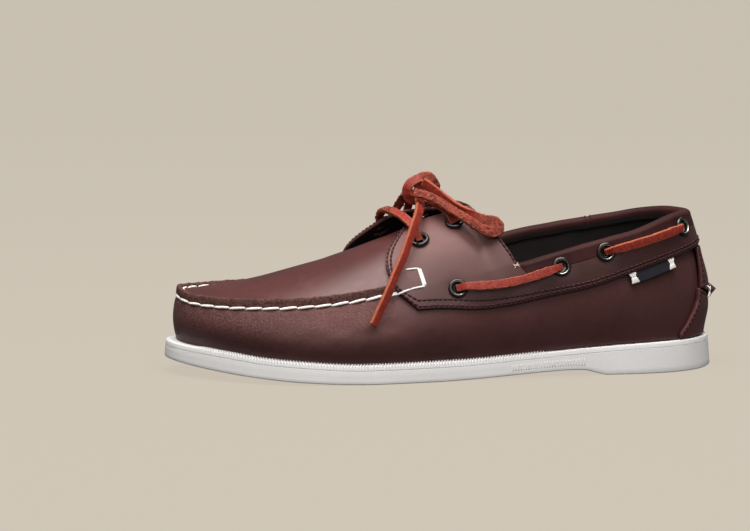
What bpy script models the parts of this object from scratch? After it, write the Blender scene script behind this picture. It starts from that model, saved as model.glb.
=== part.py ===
"""A left lace-up boat shoe: siped rubber sole, moccasin upper, thong lace.

The toe points along -X, the outer (lateral) side of the foot faces -Y, +Z is up, and
the shoe stands on z = 0. Tables are in millimetres, and meshes are made in metres.
"""

import bpy
import numpy as np
from mathutils import Vector

MM = 0.001
GAP = 0.3  # between pieces that touch
OVERLAY_GAP = 0.55  # under an overlay, whose facets dip a little

# ---------------------------------------------------------------- driving sizes, mm

WALL = 2.2  # leather of the upper, with its lining
OVERLAY = 1.7  # leather of the saddle and the heel pieces
STATIONS = 80  # around the shoe, an even number
PLUG_SPANS = 10  # across the plug
WALL_LEVELS = (0.0, 0.16, 0.34, 0.53, 0.72, 0.88)

# Rows run from the heel to the toe, in pairs at about the same length of the shoe.
# base: outline of the sole on the ground. ledge: how far the upper stands inside it.
# rail: the upper's top line, which is the moccasin seam in front and the collar behind.
# belly: how far the side swells out at half height.
# Columns: base_x, base_y, ledge, rail_x, rail_y, rail_z, belly.
HEEL_BACK = (146.0, 0.0, 6.0, 130.8, 0.0, 83.6, 4.6)
TOE_TIP = (-146.0, 4.5, 6.2, -139.7, 4.0, 40.2, 1.8)
LATERAL = (
    (140.5, -15.0, 5.2, 125.2, -13.6, 83.3, 4.4),
    (128.0, -26.8, 4.4, 114.6, -22.0, 81.2, 4.0),
    (105.0, -34.2, 3.6, 98.0, -29.4, 75.8, 3.6),
    (75.0, -35.6, 3.5, 72.0, -33.4, 69.6, 3.6),
    (40.0, -38.6, 3.5, 39.0, -33.9, 60.3, 4.2),
    (5.0, -45.1, 3.5, 5.0, -36.9, 52.0, 4.5),
    (-25.0, -50.8, 3.5, -25.0, -40.0, 46.0, 4.6),
    (-52.0, -53.5, 3.5, -52.0, -42.6, 41.4, 4.6),
    (-78.0, -51.6, 3.6, -78.0, -41.8, 38.7, 4.2),
    (-102.0, -43.6, 4.0, -101.0, -37.4, 37.9, 3.6),
    (-121.0, -31.4, 4.6, -118.5, -28.2, 37.6, 3.0),
    (-135.0, -18.6, 5.4, -131.0, -17.2, 37.9, 2.4),
    (-143.2, -7.4, 6.0, -137.3, -7.0, 38.9, 2.0),
)
MEDIAL = (
    (140.5, 15.0, 5.2, 125.2, 13.9, 83.4, 4.4),
    (128.0, 27.2, 4.4, 115.0, 23.2, 82.0, 4.0),
    (105.0, 34.4, 3.6, 99.0, 30.4, 78.8, 3.6),
    (75.0, 34.0, 3.5, 72.0, 33.8, 74.2, 3.4),
    (40.0, 32.4, 3.5, 40.0, 33.0, 68.3, 3.2),
    (8.0, 36.0, 3.5, 9.0, 34.2, 58.6, 3.2),
    (-22.0, 44.6, 3.5, -21.0, 38.4, 49.6, 3.8),
    (-50.0, 51.2, 3.5, -49.0, 42.6, 42.6, 4.2),
    (-76.0, 52.0, 3.6, -75.0, 43.4, 39.6, 4.0),
    (-100.0, 46.8, 4.0, -98.0, 40.2, 38.7, 3.4),
    (-120.0, 37.4, 4.6, -116.5, 33.0, 38.8, 2.8),
    (-134.5, 26.4, 5.4, -130.0, 23.4, 39.2, 2.3),
    (-143.0, 15.6, 6.0, -137.2, 14.0, 39.8, 2.0),
)

# Height by length along the shoe.
SOLE_BOTTOM = ((-146, 8.2), (-130, 6.0), (-115, 4.3), (-100, 2.9), (-85, 1.7), (-70, 0.9),
               (-56, 0.3), (-42, 0.0), (-8, 0.0), (10, 0.4), (30, 1.3), (50, 2.4), (62, 2.9),
               (70, 2.8), (77, 1.2), (83, 0.0), (138, 0.0), (146, 0.5))
SOLE_TOP = ((-146, 17.2), (-130, 16.0), (-115, 14.6), (-100, 12.9), (-78, 11.4),
            (-46, 9.8), (3, 10.1), (40, 11.9), (74, 14.3), (100, 15.8), (120, 16.4),
            (146, 16.6))
CROWN = ((-140, 3.0), (-130, 4.6), (-118, 6.6), (-106, 8.4), (-96, 10.4), (-81, 14.0),
         (-67, 17.0), (-51, 20.2), (-40, 22.2), (-29, 23.6), (-15, 25.6), (3, 27.6),
         (14, 28.6), (26, 27.6), (40, 26.5))  # the plug's middle above its two rails

SOLE_FLARE = 1.3  # how far the ground edge stands outside the ledge's edge
SOLE_ROUND = 1.0  # small round on the sole's edges
INSOLE_THICKNESS = 3.0
RIDGE_HEIGHT = 5.0  # the raised moccasin seam
RIDGE_WIDTH = 2.8
RIDGE_INSIDE = 2.6  # its height above the plug
PLUG_REAR_X = -14.0
RIDGE_FADE = {-1: (-43.0, -35.5), 1: (-59.0, -50.5)}  # it sinks at the saddle, x range
PLUG_ROUNDNESS = 2.35

BINDING_HEIGHT = 6.5  # padded roll on the collar's edge
BINDING_WIDTH = 6.6
TONGUE_THICKNESS = 2.6
TONGUE = ((-24.0, 0.62), (-16.0, 0.64), (-8.0, 0.64), (0.0, 0.62), (6.0, 0.58), (11.0, 0.5),
          (14.5, 0.36), (16.5, 0.18))  # x, half width as a share of the instep's

# Saddle: eyestay and collar band in one piece on each side. low: its lower edge, by the
# rail's x and a height. high: its upper edge, by the rail's x and a level on the skin.
# bow: how far the column swells forward at half height.
# Columns: low_x, low_z, high_x, high_level, bow.
LATERAL_SADDLE = (
    (-29.5, 45.3, -20.5, 1.74, 9.0),
    (-25.0, 41.2, -15.0, 1.76, 7.0),
    (-19.8, 36.8, -8.0, 1.77, 4.0),
    (-10.0, 37.3, 0.0, 1.78, 2.0),
    (0.0, 37.1, 8.0, 1.78, 0.0),
    (8.0, 36.6, 11.0, 1.76, 0.0),
    (16.0, 36.8, 16.0, 1.57, 0.0),
    (23.0, 37.6, 23.0, 1.32, 0.0),
    (30.0, 38.5, 30.5, 1.10, 0.0),
    (37.0, 39.8, 38.0, 0.87, 0.0),
    (52.0, 42.9, 52.0, 0.857, 0.0),
    (70.0, 46.4, 70.0, 0.872, 0.0),
    (90.0, 52.6, 90.0, 0.880, 0.0),
    (109.0, 59.0, 109.0, 0.888, 0.0),
    (124.0, 63.4, 124.0, 0.893, 0.0),
    (130.79, 65.2, 130.79, 0.894, 0.0),
)
MEDIAL_SADDLE = (
    (-41.5, 43.8, -25.5, 1.72, 13.5),
    (-36.0, 41.4, -18.0, 1.75, 10.0),
    (-30.0, 38.4, -9.5, 1.77, 5.5),
    (-17.0, 38.6, 0.0, 1.78, 2.0),
    (-5.0, 39.2, 8.0, 1.78, 0.0),
    (5.0, 40.0, 11.0, 1.76, 0.0),
    (14.0, 41.0, 16.5, 1.57, 0.0),
    (22.0, 42.2, 23.5, 1.32, 0.0),
    (30.0, 43.7, 31.5, 1.10, 0.0),
    (38.0, 45.4, 40.0, 0.875, 0.0),
    (52.0, 48.4, 52.0, 0.872, 0.0),
    (70.0, 52.0, 70.0, 0.882, 0.0),
    (90.0, 56.6, 90.0, 0.886, 0.0),
    (109.0, 61.0, 109.0, 0.890, 0.0),
    (124.0, 64.0, 124.0, 0.893, 0.0),
    (130.79, 65.2, 130.79, 0.894, 0.0),
)
SADDLE_LEVELS = 9
SADDLE_LIFT = {-1: (3.4, 1.8), 1: (7.6, 1.8)}  # its free edge above the instep, front and rear
LIFT_ENDS = (-20.0, 8.0)

COUNTER_TOP = ((0.0, 37.0), (0.028, 39.2), (0.056, 42.8), (0.0635, 36.4), (0.078, 30.6),
               (0.094, 24.9), (0.112, 19.6))
STRAP_WIDTH = 0.040  # in places either side of the heel's middle
STRAP_RISE, STRAP_HIGH = 1.0, 63.4  # its foot over the counter, its top
TAB_REACH = 0.022
TAB_LOW, TAB_HIGH = 36.6, 43.0
TAB_DEPTH = 3.0

EYELET_RADIUS = 4.15  # to the middle of the rim
EYELET_RIM = 1.15
SIDE_EYELETS = {-1: ((1.6, 46.7), (56.4, 57.2), (79.9, 64.4), (121.6, 75.2)),
                1: ((-4.0, 49.6), (52.0, 61.5), (76.0, 67.0), (121.6, 75.6))}
THROAT_EYELETS = {-1: ((-15.6, 0.55), (3.3, 0.45)), 1: ((-31.0, 0.48), (-9.0, 0.42))}

EYELET_FLATNESS = 0.65
SIDES = {-1: "lateral", 1: "medial"}
BAR_IN_EYELET = 1.8  # lace's middle over the saddle inside an eyelet, then over its rim
BAR_OVER_RIM = 3.75
BAR_SAG = {"front": 3.0, "rear": 0.5}
CROSSING_REAR_LIFT = 2.2  # the rear crossing arches up and forward to carry the knot
CROSSING_REAR_BOW = 4.0

THONG_WIDTH = 4.8
THONG_THICKNESS = 2.6
CORD_RADIUS = 1.9
CORD_STEP = 7.6  # two diameters

# The bow's routes, x, y, z, from the knot outwards.
KNOT = ((-13, -1, 89), (-15.5, -1.5, 89.5), (-17.5, -1.5, 90.5), (-18.5, -2, 92.5), (-19, -2, 94.5),
        (-18.5, -2.5, 96.5), (-17.5, -2.5, 98), (-15.5, -2.5, 99.5), (-13.5, -2.5, 100.5),
        (-11, -2.5, 101.5), (-8.5, -2, 101.5), (-6.5, -1.5, 101), (-5, -1.5, 99.5), (-4, -1, 98),
        (-3.5, -1, 96), (-5, 0, 93))
REAR_LOOP = ((-11, -6.5, 99.5), (-6, -10, 96), (0, -14, 91), (6, -20, 87), (12, -24.5, 84),
             (18, -27, 81), (23, -29, 80), (25, -30, 77.5), (22, -31.5, 75.5), (17, -31, 76.5),
             (12, -30, 79.5), (7, -27, 83), (1, -22, 86.5), (-5, -16, 90.5), (-11, -12, 93),
             (-16, -9.5, 94))
LATERAL_TAIL = ((-12.5, -5.5, 95), (-13, -6, 90), (-13, -10, 87.5), (-14, -14, 86.5), (-15, -18, 85),
                (-16.5, -22.5, 82.5), (-18.5, -27, 79.5), (-20.5, -31, 75.5), (-23, -35, 71),
                (-25.5, -39, 65.5), (-28.5, -42.5, 60), (-31.5, -45.5, 55), (-34, -48.5, 50),
                (-39, -52.5, 40.5), (-44, -55.5, 31))
MEDIAL_LOOP = ((-12, 4.5, 93.5), (-12.5, 12, 93), (-13, 20, 90), (-13.5, 28, 83.5), (-14.5, 35, 74),
               (-16, 41, 64), (-18.5, 45, 55.5), (-22.5, 47, 52), (-25.5, 45.5, 56),
               (-25.5, 41, 64), (-23, 35, 73.5), (-20, 28, 82), (-17.5, 20, 88.5), (-17, 12, 91),
               (-16, 6, 92))
MEDIAL_TAIL = ((-8, 3, 96), (-7, 6.5, 96), (-6, 10, 95), (-5, 14, 93.5), (-3.5, 18, 91.5),
               (-2.5, 22.5, 88.5), (-2, 27, 84.5), (-1.5, 31, 80), (-1.5, 35, 75), (-1.5, 38.5, 69.5),
               (-2, 41.5, 64), (-2.5, 43.5, 59), (-3, 45.5, 53.5), (-4.5, 47.5, 43), (-6, 48, 33.5))


# ---------------------------------------------------------------- curves

def periodic_spline(knots, values, period, at):
    """Cubic spline through values at knots, closed with the given period."""
    count = len(knots)
    gaps = np.diff(np.append(knots, knots[0] + period))
    slopes = (np.roll(values, -1, axis=0) - values) / gaps[:, None]
    matrix = np.zeros((count, count))
    for i in range(count):
        before = gaps[i - 1]
        matrix[i, i - 1] += before
        matrix[i, i] += 2 * (before + gaps[i])
        matrix[i, (i + 1) % count] += gaps[i]
    bends = np.linalg.solve(matrix, 6 * (slopes - np.roll(slopes, 1, axis=0)))
    at = np.mod(np.asarray(at, float) - knots[0], period) + knots[0]
    index = np.clip(np.searchsorted(knots, at, side="right") - 1, 0, count - 1)
    gap = gaps[index][:, None]
    rest = (at - knots[index])[:, None]
    left = bends[index]
    right = bends[(index + 1) % count]
    return (values[index] + rest * (slopes[index] - gap * (2 * left + right) / 6)
            + rest ** 2 * left / 2 + rest ** 3 * (right - left) / (6 * gap))


def height(table, x):
    """Height along the shoe from a table of (x, height), smooth and without overshoot."""
    xs, zs = np.array(table, float).T
    steps = np.diff(zs) / np.diff(xs)
    before, after = steps[:-1], steps[1:]
    same_way = before * after > 0
    mean = 2 * before * after / np.where(same_way, before + after, 1.0)
    slopes = np.concatenate([steps[:1], np.where(same_way, mean, 0.0), steps[-1:]])
    x = np.clip(x, xs[0], xs[-1])
    index = np.clip(np.searchsorted(xs, x, side="right") - 1, 0, len(xs) - 2)
    gap = xs[index + 1] - xs[index]
    u = (x - xs[index]) / gap
    return (zs[index] * (1 + 2 * u) * (1 - u) ** 2
            + slopes[index] * gap * u * (1 - u) ** 2
            + zs[index + 1] * u ** 2 * (3 - 2 * u)
            - slopes[index + 1] * gap * u ** 2 * (1 - u))


def ease(low, high, x):
    """0 below low, 1 above high, smooth between."""
    u = np.clip((np.asarray(x, float) - low) / (high - low), 0, 1)
    return u * u * (3 - 2 * u)


# ---------------------------------------------------------------- the last

ROWS = np.array([HEEL_BACK, *LATERAL, TOE_TIP, *MEDIAL[::-1]])


def row_places():
    """Place of each row along the closed path: 0 heel, 1 toe, 2 heel again."""
    sides = [np.array([HEEL_BACK, *rows, TOE_TIP])[:, :2] for rows in (LATERAL, MEDIAL)]
    steps = np.mean([np.linalg.norm(np.diff(side, axis=0), axis=1) for side in sides], axis=0)
    along = np.append(0.0, np.cumsum(steps)) / steps.sum()
    return np.concatenate([along, 2 - along[-2:0:-1]])


PLACES = row_places()


def around(places):
    """Columns of ROW at each place around the shoe."""
    return periodic_spline(PLACES, ROWS, 2.0, np.atleast_1d(places))


def plan_normals(places, columns):
    """Outward normals in plan of the path that two of ROW's columns make."""
    step = 1e-4
    ahead = around(np.atleast_1d(places) + step)[:, columns]
    behind = around(np.atleast_1d(places) - step)[:, columns]
    run = ahead - behind
    run /= np.linalg.norm(run, axis=1)[:, None]
    return np.stack([-run[:, 1], run[:, 0]], axis=1)


def place_at(x, side):
    """Place whose rail has this x, on side -1 (lateral) or +1 (medial)."""
    places = np.linspace(0, 1, 400)
    if side > 0:
        places = 2 - places
    xs = around(places)[:, 3]
    return np.interp(-np.asarray(x, float), -xs, places)


def rails(places, inset=0.0, drop=0.0):
    """Foot rail and top rail of the upper, moved in and down for an inner face."""
    row = around(places)
    base_out = plan_normals(places, [0, 1])
    rail_out = plan_normals(places, [3, 4])
    foot = np.empty((len(row), 3))
    foot[:, :2] = row[:, :2] - base_out * (row[:, 2:3] + inset)
    foot[:, 2] = height(SOLE_TOP, foot[:, 0]) + GAP
    top = np.empty((len(row), 3))
    top[:, :2] = row[:, 3:5] - rail_out * inset
    top[:, 2] = row[:, 5] - drop
    return foot, top, base_out, row[:, 6]


def side_wall(places, level, inset=0.0, drop=0.0):
    """Points of the side at a level from 0, the sole, to 1, the rail."""
    foot, top, out, belly = rails(places, inset, drop)
    level = np.broadcast_to(level, len(foot))[:, None]
    points = foot + (top - foot) * level
    points[:, :2] += out * belly[:, None] * np.sin(np.pi * level)
    return points


def instep(places, across, inset=0.0, drop=0.0, start=0.0):
    """Points of the plug and instep, across from -1, the lateral rail, to 1."""
    places = np.atleast_1d(places)
    lateral = np.minimum(places, 2 - places)
    left = rails(lateral, inset + start, drop)[1]
    right = rails(2 - lateral, inset + start, drop)[1]
    across = np.broadcast_to(across, len(left))[:, None]
    points = left + (right - left) * (across + 1) / 2
    crown = height(CROWN, points[:, 0])
    points[:, 2] += crown * (1 - np.abs(across[:, 0]) ** PLUG_ROUNDNESS)
    return points


def skin(places, level):
    """The whole outside: level 0 to 1 is the side, 1 to 2 the instep to its middle."""
    places = np.atleast_1d(places)
    level = np.broadcast_to(level, len(places))
    side = np.where(places > 1, 1.0, -1.0)
    low = side_wall(places, np.minimum(level, 1.0))
    high = instep(places, side * (2 - np.maximum(level, 1.0)))
    return np.where((level > 1)[:, None], high, low)


def skin_normals(places, level):
    """Outward normals of the outside."""
    places = np.atleast_1d(places).astype(float)
    level = np.broadcast_to(level, len(places)).astype(float)
    step = 0.004
    along = skin(places + step, level) - skin(places - step, level)
    up = skin(places, level + step * 4) - skin(places, level - step * 4)
    normal = np.cross(up, along)
    return normal / np.linalg.norm(normal, axis=1)[:, None]


# ---------------------------------------------------------------- meshes

def material(name, finish):
    """A piece's own material, from a finish of colour, roughness and metalness."""
    colour, roughness, metallic = finish
    made = bpy.data.materials.new(name + "_finish")
    made.use_nodes = True
    shader = made.node_tree.nodes["Principled BSDF"]
    shader.inputs["Base Color"].default_value = (*colour, 1.0)
    shader.inputs["Roughness"].default_value = roughness
    shader.inputs["Metallic"].default_value = metallic
    return made


def add_mesh(name, points, faces, finish):
    """A named object from points in millimetres and faces."""
    mesh = bpy.data.meshes.new(name)
    mesh.from_pydata((np.asarray(points) * MM).tolist(), [], faces)
    mesh.materials.append(material(name, finish))
    made = bpy.data.objects.new(name, mesh)
    SHOE.objects.link(made)
    return made


def grid_faces(rows, columns, closed=False):
    """Faces of a grid of points listed row by row."""
    spans = rows if closed else rows - 1
    return [(i * columns + j, ((i + 1) % rows) * columns + j,
             ((i + 1) % rows) * columns + j + 1, i * columns + j + 1)
            for i in range(spans) for j in range(columns - 1)]


def shell(name, outside, inside, faces, finish):
    """A closed solid between two sheets with the same faces, walled at open edges."""
    count = len(outside)
    edges = {}
    for face in faces:
        for start, end in zip(face, face[1:] + face[:1]):
            edges[(start, end)] = True
    rims = [(end, start, start + count, end + count)
            for start, end in edges if (end, start) not in edges]
    back = [tuple(index + count for index in reversed(face)) for face in faces]
    return add_mesh(name, np.vstack([outside, inside]), list(faces) + back + rims, finish)


def patch(name, places, levels, low, high, finish):
    """An overlay on the outside, between two distances off it, from a grid."""
    shape = places.shape
    flat = places.ravel(), levels.ravel()
    points = skin(*flat)
    normals = skin_normals(*flat)
    inner = points + normals * np.broadcast_to(low, shape).ravel()[:, None]
    outer = points + normals * np.broadcast_to(high, shape).ravel()[:, None]
    return shell(name, outer, inner, grid_faces(*shape), finish)


# ---------------------------------------------------------------- pieces

def station_places():
    return np.arange(STATIONS) * 2.0 / STATIONS


def outline_ring(inset, heights):
    """A ring of the sole at an inset from its ground outline."""
    places = station_places()
    row = around(places)
    ring = row[:, :2] - plan_normals(places, [0, 1]) * inset
    return np.column_stack([ring, heights(ring[:, 0])])


def cap_faces(first, flip):
    """Faces that close a ring of stations straight across the shoe."""
    faces = []
    for i in range(STATIONS // 2):
        left, left_next = first + i, first + i + 1
        right = first + (STATIONS - i) % STATIONS
        right_next = first + STATIONS - i - 1
        corners = []
        for index in (left, left_next, right_next, right):
            if index not in corners:
                corners.append(index)
        faces.append(tuple(corners[::-1] if flip else corners))
    return faces


def stacked(name, rings, finish):
    """A solid through closed rings from the lowest to the highest."""
    count = len(rings)
    faces = []
    for level in range(count - 1):
        for i in range(STATIONS):
            after = (i + 1) % STATIONS
            faces.append((level * STATIONS + i, (level + 1) * STATIONS + i,
                          (level + 1) * STATIONS + after, level * STATIONS + after))
    faces += cap_faces(0, flip=False)
    faces += cap_faces((count - 1) * STATIONS, flip=True)
    return add_mesh(name, np.vstack(rings), faces, finish)


def make_outsole(finish):
    def bottom(x):
        return height(SOLE_BOTTOM, x)

    def top(x):
        return height(SOLE_TOP, x)

    rings = [
        outline_ring(SOLE_ROUND, bottom),
        outline_ring(0.0, lambda x: bottom(x) + SOLE_ROUND),
        outline_ring(SOLE_FLARE, lambda x: top(x) - SOLE_ROUND),
        outline_ring(SOLE_FLARE + SOLE_ROUND, top),
    ]
    return stacked("outsole", rings, finish)


def make_insole(finish):
    places = station_places()
    foot = side_wall(places, 0.0, inset=WALL + 2 * GAP)
    top = foot + (0, 0, INSOLE_THICKNESS)
    wall = side_wall(places, 0.08, inset=WALL + 2 * GAP)
    top[:, :2] = np.minimum(np.abs(top[:, :2]), np.abs(wall[:, :2])) * np.sign(top[:, :2])
    return stacked("insole", [foot, top], finish)


def make_upper(finish):
    """Vamp, quarters and plug as one hollow wall, open at the collar and underneath."""
    places = station_places()
    half = STATIONS // 2
    rear = int(np.argmin(np.abs(around(places[:half])[:, 3] - PLUG_REAR_X)))
    levels = len(WALL_LEVELS) + 4
    sheets = []
    for inset, drop_front in ((0.0, 0.0), (WALL, WALL)):
        rail_x = around(places)[:, 3]
        front = np.where(places < 1, 1 - ease(*RIDGE_FADE[-1], rail_x),
                         1 - ease(*RIDGE_FADE[1], rail_x))
        plug_here = 1 - ease(PLUG_REAR_X, PLUG_REAR_X + 16, rail_x)
        drop = BINDING_HEIGHT * ease(18, 39, rail_x) + drop_front * plug_here
        rings = [side_wall(places, level, inset, drop) for level in WALL_LEVELS]
        flat = [side_wall(places, level, inset, drop) for level in (0.95, 0.967, 0.984, 1.0)]
        rail = flat[-1]
        towards = -plan_normals(places, [3, 4])
        ridge = []
        for inward, lift in ((0.0, 0.0), (0.4, RIDGE_HEIGHT), (RIDGE_WIDTH, RIDGE_HEIGHT),
                             (RIDGE_WIDTH + 0.6, RIDGE_HEIGHT - RIDGE_INSIDE)):
            moved = rail.copy()
            moved[:, :2] += towards * inward
            moved[:, 2] += lift if inset == 0 else inward * 0.5
            ridge.append(moved)
        for plain, raised in zip(flat, ridge):
            rings.append(plain + (raised - plain) * front[:, None])
        wall = np.stack(rings, axis=1)
        plug = []
        for i in range(rear, half):
            left, right = wall[i, -1], wall[STATIONS - i, -1]
            for j in range(1, PLUG_SPANS):
                across = -1 + 2 * j / PLUG_SPANS
                point = left + (right - left) * (across + 1) / 2
                raised = (front[i] + front[STATIONS - i]) / 2
                crown = height(CROWN, point[0]) - (RIDGE_HEIGHT - RIDGE_INSIDE) * raised
                point[2] += crown * (1 - abs(across) ** PLUG_ROUNDNESS)
                plug.append(point)
        sheets.append(np.vstack([wall.reshape(-1, 3), plug]))
    faces = [face[::-1] for face in grid_faces(STATIONS, levels, closed=True)]
    faces += plug_faces(rear, half, levels)
    return shell("upper", sheets[0], sheets[1], faces, finish)


def plug_faces(rear, half, levels):
    """Faces of the plug, sewn to the top of the side wall and closed at the toe."""
    first = STATIONS * levels

    def index(i, j):
        if j == 0:
            return i * levels + levels - 1
        if j == PLUG_SPANS:
            return (STATIONS - i) * levels + levels - 1
        return first + (i - rear) * (PLUG_SPANS - 1) + j - 1

    faces = []
    for i in range(rear, half - 1):
        for j in range(PLUG_SPANS):
            faces.append((index(i, j), index(i + 1, j), index(i + 1, j + 1),
                          index(i, j + 1))[::-1])
    tip = half * levels + levels - 1
    for j in range(PLUG_SPANS):
        faces.append((index(half - 1, j), tip, index(half - 1, j + 1))[::-1])
    return faces


# ---------------------------------------------------------------- saddle and heel

def level_at(places, z):
    """Level on the side wall where it has this height."""
    foot, top = rails(places)[:2]
    return (z - foot[:, 2]) / (top[:, 2] - foot[:, 2])


def lift(x, across):
    """How far the saddle stands off the instep, by place across it from -1 to 1."""
    across = np.asarray(across, float)
    rear = ease(*LIFT_ENDS, x)
    ends = np.array([SADDLE_LIFT[-1], SADDLE_LIFT[1]])
    lateral, medial = (end[0] + (end[1] - end[0]) * rear for end in ends)
    side = np.clip(across / 0.25, -1, 1)
    most = lateral + (medial - lateral) * (side + 1) / 2
    return most * (np.clip(1 - np.abs(across), 0, 0.75) / 0.75) ** 1.5


def make_saddle(name, side, table, finish):
    columns = np.array(table)
    count = SADDLE_LEVELS
    fine = np.linspace(0, len(columns) - 1, 2 * len(columns) - 1)
    low_x, low_z, high_x, high_level, bow = (
        np.interp(fine, range(len(columns)), column) for column in columns.T)
    low_place = place_at(low_x, side)
    high_place = place_at(high_x, side)
    low_level = level_at(low_place, low_z)
    share = np.linspace(0, 1, count)
    places = low_place[:, None] + (high_place - low_place)[:, None] * share
    bowed = place_at(low_x - bow, side) - low_place
    places += bowed[:, None] * np.sin(np.pi * share)
    levels = low_level[:, None] + (high_level - low_level)[:, None] * share
    wing = ease(0.9, 1.3, high_level)[:, None]
    levels += wing * (np.interp(share, (0, 0.5, 1), (0, 1, 0)) * (2 - low_level
                      - high_level)[:, None] / 2)
    rail_x = around(places.ravel())[:, 3].reshape(places.shape)
    off = OVERLAY_GAP + lift(rail_x, side * (2 - np.maximum(levels, 1.0)))
    grid = (places, levels) if side < 0 else (places[::-1], levels[::-1])
    off = off if side < 0 else off[::-1]
    return patch(name, *grid, off, off + OVERLAY, finish)


def heel_places(reach, count):
    return np.linspace(-reach, reach, count)


def make_counter(finish):
    """Low leather over the back of the heel, highest in the middle."""
    places = heel_places(COUNTER_TOP[-1][0], 15)
    tops = np.interp(np.abs(places), *np.array(COUNTER_TOP).T)
    share = np.linspace(0, 1, 4)
    low = np.full(len(places), 0.02)
    high = level_at(places, tops)
    levels = low[:, None] + (high - low)[:, None] * share
    grid = np.repeat(places[:, None], len(share), axis=1)
    return patch("heel_counter", grid[::-1], levels[::-1], OVERLAY_GAP,
                 OVERLAY_GAP + OVERLAY, finish)


def make_strap(finish):
    """Narrow strap down the back of the heel, from the band to the tab."""
    places = heel_places(STRAP_WIDTH, 5)
    foot = np.interp(np.abs(places), *np.array(COUNTER_TOP).T) + STRAP_RISE
    low = level_at(places, foot)
    high = level_at(places, STRAP_HIGH)
    levels = low[:, None] + (high - low)[:, None] * np.linspace(0, 1, 4)
    grid = np.repeat(places[:, None], 4, axis=1)
    return patch("heel_strap", grid[::-1], levels[::-1], OVERLAY_GAP,
                 OVERLAY_GAP + OVERLAY, finish)


def make_tab(finish):
    """Small leather pad stitched over the strap's foot and the counter's top."""
    places = heel_places(TAB_REACH, 5)
    low = level_at(places, TAB_LOW)
    high = level_at(places, TAB_HIGH)
    levels = low[:, None] + (high - low)[:, None] * np.linspace(0, 1, 3)
    grid = np.repeat(places[:, None], 3, axis=1)
    low_off = 2 * OVERLAY_GAP + OVERLAY
    return patch("heel_tab", grid[::-1], levels[::-1], low_off, low_off + TAB_DEPTH, finish)


def sweep(name, centres, wide, tall, section, finish):
    """A closed bar with a section carried along points; wide and tall are its axes."""
    rings = [centre + section[:, :1] * across + section[:, 1:] * up
             for centre, across, up in zip(centres, wide, tall)]
    size = len(section)
    if np.dot(np.cross(wide[0], tall[0]), centres[1] - centres[0]) < 0:
        rings = rings[::-1]
    faces = [(i * size + j, i * size + (j + 1) % size,
              (i + 1) * size + (j + 1) % size, (i + 1) * size + j)
             for i in range(len(rings) - 1) for j in range(size)]
    faces.append(tuple(range(size))[::-1])
    faces.append(tuple(range((len(rings) - 1) * size, len(rings) * size)))
    return add_mesh(name, np.vstack(rings), faces, finish)


def oval(width, tall, count, power=1.0):
    """Section points of an oval, squarer when power is under 1."""
    turn = (np.arange(count) + 0.5) * 2 * np.pi / count
    shape = np.column_stack([np.cos(turn), np.sin(turn)])
    return np.sign(shape) * np.abs(shape) ** power * (width / 2, tall / 2)


def make_binding(finish):
    """Padded roll on the collar's edge, from one eyestay round the heel to the other."""
    first = place_at(40.5, -1)
    last = place_at(42.5, 1) - 2
    places = np.linspace(first, last, 49)
    top = rails(places)[1]
    out = np.column_stack([plan_normals(places, [3, 4]), np.zeros(len(places))])
    centres = top + out * (2.0 - BINDING_WIDTH / 2) - (0, 0, BINDING_HEIGHT / 2 - GAP)
    up = np.tile([0.0, 0.0, 1.0], (len(places), 1))
    section = oval(BINDING_WIDTH, BINDING_HEIGHT - 2 * GAP, 8, 0.8)
    return sweep("collar_binding", centres, out, up, section, finish)


# ---------------------------------------------------------------- tongue

def make_tongue(finish):
    """Tongue under the eyestays, sewn in under the back of the plug."""
    share = np.linspace(-1, 1, 9)
    rows = []
    for x, half_width in TONGUE:
        place = np.full(len(share), place_at(x, -1))
        rows.append((place, share * half_width))
    places = np.array([row[0] for row in rows])
    across = np.array([row[1] for row in rows])
    inset = WALL + 2 * GAP
    outside = instep(places.ravel(), across.ravel(), inset, inset)
    inside = instep(places.ravel(), across.ravel(), inset + TONGUE_THICKNESS,
                    inset + TONGUE_THICKNESS)
    return shell("tongue", outside, inside, grid_faces(*places.shape), finish)


# ---------------------------------------------------------------- eyelets and lace

def above_instep(x, across, rise):
    """Point over the saddle's face, across from -1 to 1, and its normal."""
    x, across, rise = np.broadcast_arrays(np.atleast_1d(x).astype(float), across, rise)
    places = place_at(x, -1)
    step = 0.02
    run = instep(places - 0.004, across) - instep(places + 0.004, across)
    over = instep(places, across + step) - instep(places, across - step)
    normal = np.cross(run, over)
    normal /= np.linalg.norm(normal, axis=1)[:, None]
    off = OVERLAY_GAP + lift(x, across) + OVERLAY + rise
    return instep(places, across) + normal * off[:, None], normal


def above_band(side, x, z, rise):
    """Point over the saddle's band on one side, and its normal."""
    x, z, rise = np.broadcast_arrays(np.atleast_1d(x).astype(float), z, rise)
    places = place_at(x, side)
    levels = level_at(places, z)
    normal = skin_normals(places, levels)
    points = skin(places, levels)
    return points + normal * (OVERLAY_GAP + OVERLAY + rise)[:, None], normal


def make_eyelet(name, centre, normal, finish):
    """A rolled metal rim that stands on the saddle."""
    bpy.ops.mesh.primitive_torus_add(
        align="WORLD", location=(0, 0, 0), major_segments=12, minor_segments=6,
        major_radius=EYELET_RADIUS * MM, minor_radius=EYELET_RIM * MM)
    made = bpy.context.active_object
    made.name = name
    for collection in list(made.users_collection):
        collection.objects.unlink(made)
    SHOE.objects.link(made)
    made.data.materials.append(material(name, finish))
    turn = Vector((0, 0, 1)).rotation_difference(Vector(normal))
    for vertex in made.data.vertices:
        vertex.co.z *= EYELET_FLATNESS
    made.rotation_mode = "QUATERNION"
    made.rotation_quaternion = turn
    made.location = Vector(centre * MM)
    return made


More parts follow.
